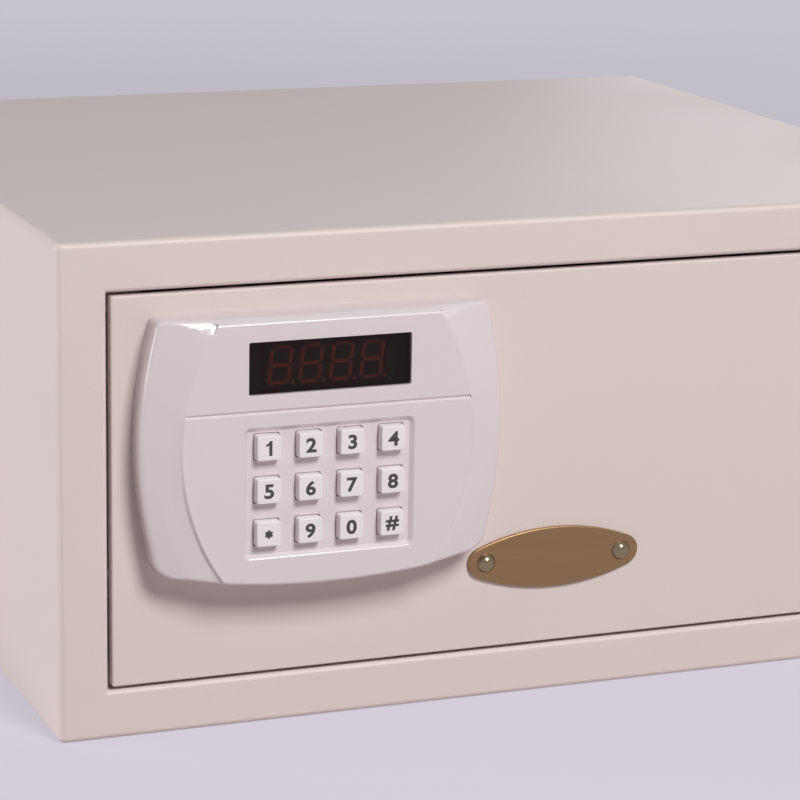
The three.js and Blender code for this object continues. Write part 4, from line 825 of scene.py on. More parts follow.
class HousingForm:
    """The keypad housing's front as a height over the door, for x and z from its middle."""

    half_width = 75.2 * MM
    side_radius = 180 * MM
    top = 50.5 * MM
    bottom = 58 * MM
    bottom_radius = 330 * MM
    top_corner = 4 * MM
    bottom_corner = 9 * MM
    wall = 2.5 * MM
    face_half = 60.3 * MM
    face_radius = 92 * MM
    face_rise = -1 * MM
    bevel = 2.4 * MM
    facet_drop = 5.9 * MM
    facet_up = 0.5
    facet_out = 0.14
    facet_wall = 0.2 * MM
    groove_rise = 13.2 * MM
    step_wall = 0.9 * MM
    step_run = 11 * MM
    step_fade = (3 * MM, 34 * MM)
    lip_run = 2.2 * MM
    lip_rise = 0.14 * MM
    window_size = (67 * MM, 20.8 * MM)
    window_corner = 0.6 * MM
    window_edge = 0.35 * MM
    recess_size = (67.6 * MM, 49.6 * MM)
    recess_rise = -19.4 * MM
    recess_depth = 1.7 * MM
    recess_blend = 0.4 * MM
    key_hole_corner = 1 * MM
    key_hole_edge = 0.25 * MM
    blend = 0.45 * MM
    key_running = 0.14 * MM

    def __init__(self, sizes, keys, window_rise):
        self.face = sizes.face_proud
        self.rim = sizes.rim_proud
        self.fillet = sizes.rim_fillet
        self.groove = sizes.groove_width / 2
        self.step = sizes.panel_step
        self.hole = sizes.key_size + 2 * self.key_running
        self.keys = keys
        self.window_rise = window_rise
        self.border = [Vector(point) for point in self.outline(0)]

    def outline(self, inset):
        """The bowed outline, moved in by an inset, counter-clockwise from the bottom's middle."""
        half, top = self.half_width - inset, self.top - inset
        top_corner = max(self.top_corner - inset, MM)
        bottom_corner = max(self.bottom_corner - inset, MM)

        def bottom_at(x):
            return -self.bottom + inset - side_x(0, self.bottom_radius, x)

        def curve(start, corner, end, steps=7):
            return [tuple((1 - t) ** 2 * a + 2 * t * (1 - t) * b + t ** 2 * c
                          for a, b, c in zip(start, corner, end))
                    for t in (i / steps for i in range(1, steps))]

        corner_x = side_x(half, self.side_radius, -self.bottom + inset)
        row = [(x, bottom_at(x)) for x in evenly(0, corner_x - bottom_corner, 16)]
        side = [(side_x(half, self.side_radius, z), z)
                for z in evenly(bottom_at(corner_x) + bottom_corner, top - top_corner, 30)]
        last = (side_x(half, self.side_radius, top) - top_corner, top)
        right = row + curve(row[-1], (side[0][0], row[-1][1]), side[0]) + side
        right += curve(side[-1], (side[-1][0], top), last)
        right += [(x, top) for x in evenly(last[0], 0, 12)]
        return right + [(-x, z) for x, z in reversed(right[1:-1])]

    def edge_x(self, z):
        """Where the flat face ends, at a height."""
        return side_x(self.face_half, self.face_radius, z - self.face_rise)

    def rim_x(self, z):
        """Where the housing ends, at a height."""
        return side_x(self.half_width, self.side_radius, z)

    def wing_slope(self, z):
        return (self.face - self.rim) / (self.rim_x(z) - self.edge_x(z))

    def facet_depth(self, x, z):
        """Depth of the plane that cuts both top corners, tilted up and out."""
        start_z = self.top - self.facet_drop
        return self.facet_out * (abs(x) - self.edge_x(start_z)) + self.facet_up * (z - start_z)

    def crown(self, x, z, blend):
        """Face, wings, corner facets and top bevel."""
        beside = abs(x) - self.edge_x(z)
        wing = self.wing_slope(z) * eased(beside, blend)
        bevel = eased(z - (self.top - self.bevel), blend)
        facet = self.facet_depth(x, z) * max(0, min(1, beside / self.facet_wall))
        return self.face - max(wing, bevel, facet)

    def panel_edge(self, x, z):
        """How far the surface sinks beside the key panel, and below zero where its lip rises."""
        beside = abs(x) - self.edge_x(z)
        below = self.groove_rise - z
        if below <= 0 or not -self.lip_run < beside < self.step_run:
            return 0
        start, full = self.step_fade
        share = 0.35 * min(1, below / start) + 0.65 * min(1, below / full)
        if beside < 0:
            return -self.lip_rise * share * eased_step((beside + self.lip_run) / self.lip_run)
        if beside < self.step_wall:
            t = beside / self.step_wall
            return share * (self.step * t - self.lip_rise * (1 - t))
        return share * self.step * (
            1 - eased_step((beside - self.step_wall) / (self.step_run - self.step_wall)))

    def from_border(self, x, z):
        """Distance from the outline, up to a metre."""
        point = Vector((x, z))
        best = 1.0
        for start, end in zip(self.border, self.border[1:] + self.border[:1]):
            side = end - start
            t = max(0, min(1, (point - start).dot(side) / side.length_squared))
            best = min(best, (start + side * t - point).length)
        return best

    def front(self, x, z):
        """The outer surface: crown, groove, key recess, and the edges of its rim and holes."""
        height = self.crown(x, z, self.blend) - self.panel_edge(x, z)
        if abs(x) < self.edge_x(z):
            height -= max(0, self.groove - abs(z - self.groove_rise))
        height -= quarter_drop(self.from_border(x, z), self.fillet)
        height -= quarter_drop(
            away_from_box(x, z, self.window_rise, *self.window_size, self.window_corner),
            self.window_edge)
        into = away_from_box(x, z, self.recess_rise, *self.recess_size, MM)
        recess = self.recess_depth - min(
            eased(into, self.recess_blend), self.recess_depth - eased(
                self.recess_depth - into, self.recess_blend))
        height -= max(min(recess, self.recess_depth), 0)
        for key_x, key_z in self.keys:
            if max(abs(x - key_x), abs(z - key_z)) < self.hole:
                gap = away_from_box(x - key_x, z, key_z, self.hole, self.hole, self.key_hole_corner)
                height -= quarter_drop(gap, self.key_hole_edge)
        return height

    def back(self, x, z):
        """The inner ceiling, thicker behind the key recess."""
        ceiling = self.crown(x, z, self.blend) - self.wall
        pad = away_from_box(x, z, self.recess_rise,
                            self.recess_size[0] + 6 * MM, self.recess_size[1] + 6 * MM, MM)
        floor = self.face - self.recess_depth - self.wall
        return ceiling if pad > 0.2 * MM else min(ceiling, floor)

    def window_line(self, reach):
        return box_line(0, self.window_rise, self.window_size, reach, self.window_corner, 4)

    def key_lines(self, reach):
        return [box_line(x, z, (self.hole, self.hole), reach, self.key_hole_corner, 5)
                for x, z in self.keys]

    def hole_loops(self):
        """Window and key holes as closed outlines."""
        return [self.window_line(0), *self.key_lines(0)]

    def feature_lines(self):
        """Closed and open lines that the front's mesh follows."""
        closed = [self.outline(self.fillet * (1 - math.cos(math.radians(a))))
                  for a in (18, 36, 54, 72, 90)]
        closed += [self.window_line(self.window_edge * 0.4), self.window_line(self.window_edge)]
        closed += self.key_lines(self.key_hole_edge)
        blend, depth = self.recess_blend, self.recess_depth
        for reach in (-blend, -blend / 2, 0, blend / 2, blend,
                      depth - blend, depth - blend / 2, depth, depth + blend / 2, depth + blend):
            closed.append(box_line(0, self.recess_rise, self.recess_size, reach, MM, 6))

        open_lines = []
        low, high, near = -self.bottom - 2 * MM, self.top - 0.1 * MM, 0.12 * MM

        def follow(side, x_at, heights, margin):
            """Adds a line on one side, as far as it keeps a margin from the outline."""
            line = [(side * x_at(z), z) for z in heights]
            open_lines.append([p for p in line if self.is_inside(*p, margin)])

        for side in (-1, 1):
            for shift in (-self.lip_run, -self.lip_run / 2, -self.blend, 0, self.facet_wall,
                          self.blend, self.step_wall, 0.5 * self.step_run, self.step_run):
                follow(side, lambda z: self.edge_x(z) + shift, evenly(low, high, 70), near)
            follow(side, self.mitre_x, evenly(self.top - self.facet_drop, self.top, 16), near)
            for share in (0.3, 0.6, 0.85):
                follow(side, lambda z: self.edge_x(z) + share * (self.rim_x(z) - self.edge_x(z)),
                       evenly(low, high, 36), 2 * MM)
        for shift in (-1, -0.5, 0, 0.5, 1):
            z = self.groove_rise + shift * self.groove
            reach = self.edge_x(z)
            open_lines.append([(x, z) for x in evenly(-reach, reach, 24)])
        for shift in (-self.blend, -self.blend / 2, 0, self.blend / 2, self.blend):
            z = self.top - self.bevel + shift
            reach = self.rim_x(z) - 2 * MM
            open_lines.append([(x, z) for x in evenly(-reach, reach, 28)])
        return closed, open_lines

    def mitre_x(self, z):
        """Where the corner facet meets the wing, at a height."""
        start_z = self.top - self.facet_drop
        slope = self.wing_slope(z)
        rise = self.facet_up * (z - start_z) - self.facet_out * self.edge_x(start_z)
        return (rise + slope * self.edge_x(z)) / (slope - self.facet_out)

    def is_inside(self, x, z, margin):
        if abs(x) >= self.rim_x(z) - margin or z >= self.top - margin:
            return False
        bottom = -self.bottom - side_x(0, self.bottom_radius, x)
        return z > bottom + margin and self.from_border(x, z) > margin


def triangulated(outline, holes, closed, open_lines):
    """Triangles between an outline and its holes that follow every given line.

    Returns the points, the triangles, and where each outline and hole point went."""
    points, edges = [], []

    def add(line, is_closed=True):
        spots = list(range(len(points), len(points) + len(line)))
        points.extend(Vector(p) for p in line)
        edges.extend(zip(spots, spots[1:] + spots[:1] if is_closed else spots[1:]))
        return spots

    loops = [add(loop) for loop in [outline, *holes]]
    for line in closed:
        add(line)
    for line in open_lines:
        if len(line) > 1:
            add(line, False)
    out, _, triangles, origins, _, _ = delaunay_2d_cdt(points, edges, [loops[0]], 1, 1e-7)
    where = {source: i for i, sources in enumerate(origins) for source in sources}

    def is_in_hole(triangle):
        x, z = (sum(out[i][k] for i in triangle) / 3 for k in (0, 1))
        return any(is_within(x, z, hole) for hole in holes)

    kept = [t for t in triangles if not is_in_hole(t)]
    return out, kept, [[where[i] for i in loop] for loop in loops]


def is_within(x, z, loop):
    """Whether a point is in a convex counter-clockwise loop."""
    return all(
        (b[0] - a[0]) * (z - a[1]) - (b[1] - a[1]) * (x - a[0]) >= 0
        for a, b in zip(loop, loop[1:] + loop[:1]))


def keypad_centre():
    """The housing's middle on the door's face."""
    box = Box("keypad_housing")
    return Vector((box.x, box.high.y, box.high.z - HousingForm.top))


class SAFE_OT_keypad_housing(bpy.types.Operator):
    """Make the moulded keypad housing with its wings, grooves, window and key recess"""

    bl_idname = "safe.keypad_housing"
    bl_label = "Keypad housing"

    def execute(self, context):
        centre = keypad_centre()
        keys = [(key.x - centre.x, key.z - centre.z) for key in map(Box, KEY_SYMBOLS)]
        form = HousingForm(context.scene.safe_sizes, keys, Box("display_lens").z - centre.z)
        shape = bmesh.new()

        def skin(height, outline, closed, open_lines):
            """One side of the shell: its edge and its holes as loops of vertices."""
            points, triangles, loops = triangulated(outline, form.hole_loops(), closed, open_lines)
            verts = [shape.verts.new((x, -height(x, z), z)) for x, z in points]
            for triangle in triangles:
                shape.faces.new([verts[i] for i in triangle])
            return [[verts[i] for i in loop] for loop in loops]

        border, *holes = skin(form.front, form.outline(0), *form.feature_lines())
        inner = form.outline(form.wall)
        pads = [[(x, z + form.recess_rise) for x, z in rounded_box(
            form.recess_size[0] + wider, form.recess_size[1] + wider, MM, 3)]
            for wider in (6 * MM, 6.6 * MM)]
        arcs = [[(side * form.edge_x(z), z) for z in evenly(
            -form.bottom + 4 * MM, form.top - 4 * MM, 30)] for side in (-1, 1)]
        inner_border, *inner_holes = skin(form.back, inner, pads, arcs)
        foot, inner_foot = (
            [shape.verts.new((x, 0, z)) for x, z in line] for line in (form.outline(0), inner))
        bridge(shape, border, foot)
        bridge(shape, foot, inner_foot)
        bridge(shape, inner_foot, inner_border)
        for hole, inner_hole in zip(holes, inner_holes):
            bridge(shape, hole, inner_hole)
        bmesh.ops.recalc_face_normals(shape, faces=shape.faces)
        housing = as_object("keypad_shell", moved(shape, centre))
        dressed(housing, "housing_plastic", "door", "keypad_housing", sharp=38)
        return {"FINISHED"}


class SAFE_OT_housing_posts(bpy.types.Operator):
    """Make the screw bosses inside the keypad housing"""

    bl_idname = "safe.housing_posts"
    bl_label = "Housing posts"

    def execute(self, context):
        left, right = Box("housing_screw_left"), Box("housing_screw_right")
        bore_radius, radius, length = 1.8 * MM, 4.5 * MM, 12 * MM
        boss = turned([
            (bore_radius, 0), (radius, 0), (radius, -length), (0, -length),
            (0, MM - length), (bore_radius, MM - length), (bore_radius, 0)], 40)
        bosses = as_object("housing_posts", moved(boss, (left.x, keypad_centre().y, left.z)))
        repeated(bosses, "row", "housing_plastic", count=2, step=(right.x - left.x, 0, 0))
        dressed(bosses, "housing_plastic", "door")
        return {"FINISHED"}


# The middles of a figure's seven bars, in figure widths and heights, and whether each is level
SEGMENTS = [(0, 0.5, True), (0, 0, True), (0, -0.5, True), (-0.5, 0.25, False),
            (0.5, 0.25, False), (-0.5, -0.25, False), (0.5, -0.25, False)]


def digit_shapes(tall, front):
    """A seven-segment figure and its point, proud of the display's front."""
    wide, bar, rise = tall * 0.56, tall * 0.105, 0.15 * MM
    digit = bmesh.new()
    for across, up, is_level in SEGMENTS:
        half, thick = ((wide if is_level else tall / 2) - bar * 0.35) / 2, bar / 2
        outline = [(-half, 0), (-half + thick, -thick), (half - thick, -thick),
                   (half, 0), (half - thick, thick), (-half + thick, thick)]
        rows = []
        for y in (front, front - rise):
            spots = [(u, v) if is_level else (v, u) for u, v in outline]
            spots = [(x + across * wide, z + up * tall) for x, z in spots]
            rows.append([digit.verts.new((x + z * DIGIT_SLANT, y, z)) for x, z in spots])
            digit.faces.new(rows[-1])
        bridge(digit, *rows)
    bmesh.ops.recalc_face_normals(digit, faces=digit.faces)
    radius = 0.85 * MM
    dot = turned([(0, 0), (radius, 0), (radius, -rise), (0, -rise)], 16)
    return digit, moved(dot, (wide * 0.5 + 1.2 * MM, front, -tall * 0.5))


class SAFE_OT_display(bpy.types.Operator):
    """Make the smoked display window and the four digits behind it"""

    bl_idname = "safe.display"
    bl_label = "Display"

    def execute(self, context):
        box = Box("display_lens")
        front, rear, edge = box.low.y, box.high.y, 0.3 * MM
        shoulder = rear - 1.2 * MM
        rings = box_rings([(0, rear), (0, shoulder)], box, MM, 5)
        box.width, box.height = 66.4 * MM, 20.2 * MM
        rings += box_rings([(0, shoulder), (0, front + edge), (edge * 0.3, front + edge * 0.3),
                            (edge, front)], box, 0.6 * MM, 5)
        dressed(as_object("display_window", lofted(rings)),
                "smoked_lens", "door", "display_lens")

        digits = as_object("display_digits", *digit_shapes(
            context.scene.safe_sizes.digit_height, Box("keypad_board").low.y))
        digits.data.transform(Matrix.Translation((box.x - 1.5 * DIGIT_PITCH - 0.4 * MM, 0, box.z)))
        repeated(digits, "row", "segment_red", count=4, step=(DIGIT_PITCH, 0, 0))
        dressed(digits, "segment_red", "door", slot="dark_plastic")
        return {"FINISHED"}


class SAFE_OT_keys(bpy.types.Operator):
    """Make the twelve keys, each with its figure"""

    bl_idname = "safe.keys"
    bl_label = "Keys"

    def execute(self, context):
        sizes = context.scene.safe_sizes
        corner, stem, edge, draft = 1.1 * MM, 5 * MM, 0.4 * MM, 0.35 * MM
        for node, symbol in KEY_SYMBOLS.items():
            box = Box(node)
            front, rear = box.low.y, box.high.y
            lip_front, lip_back = rear - 3.2 * MM, rear - 2 * MM
            squares = [
                (stem, 2 * MM, rear), (stem, 2 * MM, lip_back), (box.width, corner, lip_back),
                (box.width, corner, lip_front), (sizes.key_size, corner, lip_front)]
            for inset, y in bent(edge, front, 5):
                inset += draft
                squares.append((sizes.key_size - 2 * inset, corner - inset / 2, y))
            cap = as_object(f"cap_{node[4:]}", lofted([
                ring_xz(rounded_box(size, size, radius), y, box.centre)
                for size, radius, y in squares]))
            cap.data.materials.append(finish("key_plastic"))
            cap.data.materials.append(finish("key_ink"))
            add_figure(cap, symbol, sizes.symbol_height, (box.x, front, box.z))
            dressed(cap, "key_plastic", f"{node}_cap", node, sharp=40)
        return {"FINISHED"}


# Figures that are drawn here, one unit tall about the origin; the font gives the others
OWN_FIGURES = {
    "1": [(-0.02, -0.5), (0.2, -0.5), (0.2, 0.5), (0.03, 0.5), (-0.06, 0.36),
          (-0.22, 0.27), (-0.22, 0.12), (-0.02, 0.2)],
    "*": [(r * math.sin(math.radians(60 * i + a)), r * math.cos(math.radians(60 * i + a)))
          for i in range(6) for a, r in ((-15, 0.3), (15, 0.3), (30, 0.19))],
}


def figure_mesh(symbol):
    """A flat figure as a mesh in X and Y, one unit tall."""
    if symbol in OWN_FIGURES:
        mesh = bpy.data.meshes.new("figure")
        shape = bmesh.new()
        shape.faces.new([shape.verts.new((x, y, 0)) for x, y in OWN_FIGURES[symbol]])
        shape.normal_update()
        bmesh.ops.triangulate(shape, faces=shape.faces)
        shape.to_mesh(mesh)
        shape.free()
        return mesh
    text = bpy.data.curves.new("figure", "FONT")
    text.body = symbol
    text.size = 0.01
    text.offset = 0.00032
    text.resolution_u = 6
    glyph = bpy.data.objects.new("figure", text)
    bpy.context.scene.collection.objects.link(glyph)
    bpy.context.view_layer.update()
    mesh = bpy.data.meshes.new_from_object(
        glyph.evaluated_get(bpy.context.evaluated_depsgraph_get()))
    bpy.data.objects.remove(glyph)
    xs, ys = ([v.co[axis] for v in mesh.vertices] for axis in (0, 1))
    scale = 1 / (max(ys) - min(ys))
    mesh.transform(Matrix.Diagonal((1.12 * scale, scale, 1, 1)) @ Matrix.Translation(
        (-(min(xs) + max(xs)) / 2, -(min(ys) + max(ys)) / 2, 0)))
    return mesh


def add_figure(thing, symbol, height, place):
    """Joins a printed figure to a key's cap, as a film just over its top."""
    mesh = figure_mesh(symbol)
    mesh.transform(Matrix.Translation(place) @ UPRIGHT @ Matrix.Scale(height, 4))
    film = bmesh.new()
    film.from_mesh(mesh)
    bmesh.ops.remove_doubles(film, verts=film.verts, dist=0.001 * MM)
    film.normal_update()
    bmesh.ops.reverse_faces(film, faces=[f for f in film.faces if f.normal.y > 0])
    made = bmesh.ops.extrude_face_region(film, geom=film.faces[:])
    for vert in made["geom"]:
        if isinstance(vert, bmesh.types.BMVert):
            vert.co.y -= 0.04 * MM
    bmesh.ops.recalc_face_normals(film, faces=film.faces)
    for face in film.faces:
        face.material_index = 1
    film.to_mesh(mesh)
    film.free()
    whole = bmesh.new()
    for part in (thing.data, mesh):
        whole.from_mesh(part)
    whole.to_mesh(thing.data)
    whole.free()
    bpy.data.meshes.remove(mesh)


# Brass cover plate


class SAFE_OT_cover_plate(bpy.types.Operator):
    """Make the brass plate over the key override and its two domed screws"""

    bl_idname = "safe.cover_plate"
    bl_label = "Cover plate"

    def execute(self, context):
        box = Box("override_cover_plate")
        front, rear, tip = box.low.y, box.high.y, 6.5 * MM

        def outline(inset):
            """Two long arcs that run into round tips."""
            half, height, end = box.width / 2 - inset, box.height / 2 - inset, tip - inset
            tip_x = half - end
            radius = (tip_x ** 2 + height ** 2 - end ** 2) / (2 * (height - end))
            meet = math.degrees(math.atan2(tip_x, radius - height))
            right = arc((tip_x, 0), end, meet - 90, 90 - meet, 14)
            top = arc((0, height - radius), radius, 90 - meet, 90 + meet, 56)[1:-1]
            return right + top + [(-x, -z) for x, z in right + top]

        plate = as_object("cover_plate", lofted([
            ring_xz(outline(inset), y, box.centre)
            for inset, y in [(0, rear), *bent(context.scene.safe_sizes.plate_fillet, front, 5)]]))
        left, right = Box("cover_plate_screw_left"), Box("cover_plate_screw_right")
        for x in (left.x, right.x):
            carved(plate, drill("y", x, left.z, 1.75 * MM, front - MM, rear + MM))
        dressed(plate, "brass", "door", "override_cover_plate")

        head, dome, shank, soft = left.height / 2, front - left.low.y, 1.6 * MM, 0.5 * MM
        sphere = (head ** 2 + dome ** 2) / (2 * dome)
        reach = math.degrees(math.asin(min(1, head / sphere)))
        profile = [(sphere * math.sin(a), left.low.y + sphere - sphere * math.cos(a))
                   for a in (math.radians(reach * i / 14) for i in range(15))]
        profile += [(head, front), (shank, front), (shank, left.high.y - soft),
                    (shank - soft, left.high.y), (0, left.high.y)]
        screws = as_object("domed_screws", moved(turned(profile), (left.x, 0, left.z)))
        repeated(screws, "row", "nickel_with_painted_dark_reflection", count=2, step=(right.x - left.x, 0, 0))
        dressed(screws, "nickel_with_painted_dark_reflection", "door", "cover_plate_screw_left",
                "cover_plate_screw_right", slot="polished_steel")
        return {"FINISHED"}


# Inside of the door


class SAFE_OT_bolts(bpy.types.Operator):
    """Make the two bolts, turned with chamfered tips, tails and retaining collars"""

    bl_idname = "safe.bolts"
    bl_label = "Bolts"

    def execute(self, context):
        step, tail, collar, soft = Box("bolt_bar").low.x, 4 * MM, 5.6 * MM, 1.5 * MM
        for node, name in (("bolt_top", "upper_bolt"), ("bolt_bottom", "lower_bolt")):
            box = Box(node)
            radius, start, end = box.height / 2, box.low.x, box.high.x
            profile = [(0, start)]
            profile += [(r, start + y) for r, y in arc((radius - soft, soft), soft, -90, 0, 6)]
            profile += [
                (radius, step - 0.3 * MM), (radius - 0.3 * MM, step), (tail, step),
                (tail, step + 3 * MM), (collar, step + 3 * MM), (collar, step + 4.4 * MM),
                (tail, step + 4.4 * MM), (tail, end - soft), (tail - soft, end), (0, end)]
            bolt = moved(turned(profile), (0, box.y, box.z),
                         Matrix.Rotation(math.radians(-90), 4, "Z"))
            dressed(as_object(name, bolt), "polished_steel", "bolts", node)
        return {"FINISHED"}


class SAFE_OT_hinge(bpy.types.Operator):
    """Make the hinge's pins, bushes and blocks"""

    bl_idname = "safe.hinge"
    bl_label = "Hinge"

    def execute(self, context):
        for side, sign in (("top", 1), ("bottom", -1)):
            box = Box(f"hinge_pin_{side}")
            place = (box.x, box.y, 0)
            tip, head = (box.low.z, box.high.z)[::sign]
            seat = head - sign * 2 * MM
            pin = turned([
                (0, tip), (2 * MM, tip), (2.5 * MM, tip + sign * 0.5 * MM), (2.5 * MM, seat),
                (5 * MM, seat), (5 * MM, head - sign * 0.3 * MM), (4.7 * MM, head), (0, head)])
            dressed(as_object(f"pin_{side}", moved(pin, place, UPRIGHT)), "polished_steel",
                    "case", f"hinge_pin_{side}", slot="zinc_steel")
            box = Box(f"hinge_bush_{side}")
            inner, outer = (box.low.z, box.high.z)[::sign]
            flange, bore_radius = outer - sign * 1.2 * MM, 2.7 * MM
            bush = turned([
                (bore_radius, inner), (3.5 * MM, inner), (3.5 * MM, flange), (5.5 * MM, flange),
                (5.5 * MM, outer), (bore_radius, outer), (bore_radius, inner)])
            dressed(as_object(f"bush_{side}", moved(bush, place, UPRIGHT)), "bronze",
                    "door", f"hinge_bush_{side}")
            dressed(copied(f"hinge_lug_{side}", f"hinge_block_{side}"), "zinc_steel",
                    "door", f"hinge_block_{side}", sharp=40,
                    bevel=context.scene.safe_sizes.soft_edge)
        return {"FINISHED"}


# Pieces that keep the solid's shape with soft edges: the solid, the piece, its finish and its body
SOFTENED = [
    ("door_stop_top", "stop_angle_top", "case_paint", "case"),
    ("door_stop_bottom", "stop_angle_bottom", "case_paint", "case"),
    ("stop_pad_top", "stop_rubber_top", "black_rubber", "case"),
    ("stop_pad_bottom", "stop_rubber_bottom", "black_rubber", "case"),
    ("gearbox_housing", "gearbox_shell", "dark_plastic", "door"),
    ("bolt_motor", "motor_can", "polished_steel", "door"),
    ("override_nut", "lock_nut", "zinc_steel", "door"),
    ("override_cam", "cam_plate", "zinc_steel", "key_plug"),
    ("cam_nut", "cam_lock_nut", "zinc_steel", "key_plug"),
    ("limit_switch", "bolt_switch", "dark_plastic", "door"),
]


class SAFE_OT_machined_parts(bpy.types.Operator):
    """Give the lock's pressed, moulded and machined parts soft edges and their finishes"""

    bl_idname = "safe.machined_parts"
    bl_label = "Lock parts"

    def execute(self, context):
        for node, name, kind, body in SOFTENED:
            dressed(copied(name, node), kind, body, node, sharp=40,
                    bevel=context.scene.safe_sizes.soft_edge)
        return {"FINISHED"}


class SAFE_OT_lock_cover(bpy.types.Operator):
    """Make the pressed cover over the lock, with its battery opening"""

    bl_idname = "safe.lock_cover"
    bl_label = "Lock cover"

    def execute(self, context):
        box = Box("lock_cover")
        low, high = box.low, box.high
        sheet, bend, corner, through = 1.2 * MM, 2.5 * MM, 6 * MM, 2.2 * MM

        def pressing(inset, front):
            """The pan's outside or its hollow, whose corners draw in half as fast as its sides."""
            bends = bent(max(bend - inset, 0.5 * MM), high.y - inset, 8, towards=-1)
            return lofted([ring_xz(rounded_box(
                box.width - 2 * inset - 2 * shrink, box.height - 2 * inset - 2 * shrink,
                corner - inset - shrink / 2, 8), y, box.centre)
                for shrink, y in [(0, front), *bends]])

        pan = as_object("cover_pan", pressing(0, low.y))
        carved(pan, pressing(sheet, low.y - MM))
        for bolt in (Box("bolt_top"), Box("bolt_bottom")):
            carved(pan, bore("x", bolt, bolt.height / 2 + 0.6 * MM, low.x - MM, low.x + through))
        for side in ("left", "right"):
            carved(pan, bore("y", Box(f"lock_cover_screw_{side}"), 1.8 * MM,
                             high.y - through, high.y + MM))
        lid = Box("battery_lid")
        carved(pan, lofted(box_rings(
            [(3 * MM, high.y - through), (3 * MM, high.y + MM)], lid, 2 * MM, 6)))
        dressed(pan, "case_paint", "door", "lock_cover")
        return {"FINISHED"}


def pan_screw(low, high, head, tall):
    """A pan-head screw, its head at the high y end."""
    seat, shank = high.y - tall, 1.5 * MM
    crown = arc((head / 2 - 0.5 * tall, seat + 0.35 * tall), 0.5 * tall, 0, 78, 6)
    profile = [(0, low.y), (shank / 2, low.y), (shank, low.y + 0.6 * MM), (shank, seat),
               (head / 2, seat), *crown, (head * 0.24, high.y), (0, high.y)]
    return turned([(r, min(y, high.y)) for r, y in profile], 48)


class SAFE_OT_small_screws(bpy.types.Operator):
    """Make the screws of the keypad housing and of the lock cover, with cross recesses"""

    bl_idname = "safe.small_screws"
    bl_label = "Screws"

    def execute(self, context):
        long_arm, short_arm = 3.4 * MM, 0.7 * MM
        for node, name, head, tall in (
            ("housing_screw_left", "screw_housing_left", 6.6, 1.2),
            ("housing_screw_right", "screw_housing_right", 6.6, 1.2),
            ("lock_cover_screw_left", "screw_cover_left", 7.5, 2.2),
            ("lock_cover_screw_right", "screw_cover_right", 7.5, 2.2),
        ):
            box = Box(node)
            place = (box.x, 0, box.z)
            screw = as_object(name, moved(
                pan_screw(box.low, box.high, head * MM, tall * MM), place))
            for size in ((long_arm, short_arm), (short_arm, long_arm)):
                slot = rounded_box(*size, 0.15 * MM, 2)
                tip = rounded_box(size[0] * 0.5, size[1] * 0.5, 0.05 * MM, 2)
                carved(screw, moved(lofted([
                    ring_xz(tip, box.high.y - 0.9 * MM), ring_xz(slot, box.high.y + 0.3 * MM)]),
                    place))
            dressed(screw, "zinc_steel", "door", node)
        return {"FINISHED"}


class SAFE_OT_battery_lid(bpy.types.Operator):
    """Make the battery lid with its ribs and finger grips"""

    bl_idname = "safe.battery_lid"
    bl_label = "Battery lid"

    def execute(self, context):
        box = Box("battery_lid")
        top = box.high.y - 0.6 * MM
        seat, corner, rib = top - 1.6 * MM, 3 * MM, 1.2 * MM
        shapes = [lofted(box_rings([(0, seat), *bent(0.5 * MM, top, 5, towards=-1)],
                                   box, lambda inset: corner - inset, 8))]
        for side in (-1, 1):
            rim = rounded_box(box.width - 14 * MM, rib, 0.3 * MM, 3)
            rise = side * (box.height / 2 - 3 * MM - 0.9 * MM)
            shapes.append(lofted([
                ring_xz(rim, y, (box.x, box.z + rise)) for y in (box.low.y, seat + 0.2 * MM)]))
        dressed(as_object("cell_lid", *shapes), "dark_plastic", "lid", "battery_lid")
        grip = lofted([
            ring_xz(rounded_box(wide * MM, tall * MM, radius * MM), top + rise * MM)
            for wide, tall, radius, rise in (
                (16, 1.2, 0.55, -0.2), (16, 1.2, 0.55, 0.3), (15.6, 0.7, 0.34, 0.6))])
        first = box.z + box.height / 2 - 3 * MM - 8 * MM - 4.5 * MM
        grips = as_object("lid_grips", moved(grip, (box.x, 0, first)))
        repeated(grips, "row", "dark_plastic", count=4, step=(0, 0, 3 * MM))
        dressed(grips, "dark_plastic", "lid")
        return {"FINISHED"}


class SAFE_OT_batteries(bpy.types.Operator):
    """Make the four cells, every second one the other way up"""

    bl_idname = "safe.batteries"
    bl_label = "Batteries"

    def execute(self, context):
        box = Box(CELLS[0])
        radius, half, soft = box.depth / 2, (box.height - MM) / 2, 0.8 * MM
        edge = arc((radius - soft, -half + soft), soft, -90, 0, 5)
        profile = [(0, -half), *edge, (radius, half - soft)]
        profile += [(r, -y) for r, y in reversed(edge)][1:]
        profile += [(2.75 * MM, half), (2.75 * MM, half + 0.8 * MM),
                    (2.4 * MM, half + MM), (0, half + MM)]
        cells = as_object("cells", moved(turned(profile), UPRIGHT))
        repeated(cells, "row", "cell_wrap", count=4, step=(Box(CELLS[1]).x - box.x, 0, 0),
                 turn=math.pi)
        cells.data.transform(Matrix.Translation((box.x, box.y, box.high.z - half - MM)))
        dressed(cells, "cell_wrap", "door", *CELLS)
        return {"FINISHED"}


# Solids that show as they are, and their finishes
SHOWN_AS_SOLIDS = {
    "keypad_board": "keypad_board", "key_dome_mat": "silicone",
    "keypad_ribbon": "ribbon_grey", "override_barrel": "zinc_steel",
    "override_plug": "polished_steel", "drive_pinion": "zinc_steel",
    "lock_chassis": "zinc_steel", "bolt_bar": "zinc_steel",
    "control_board": "control_board", "battery_box": "dark_plastic",
}


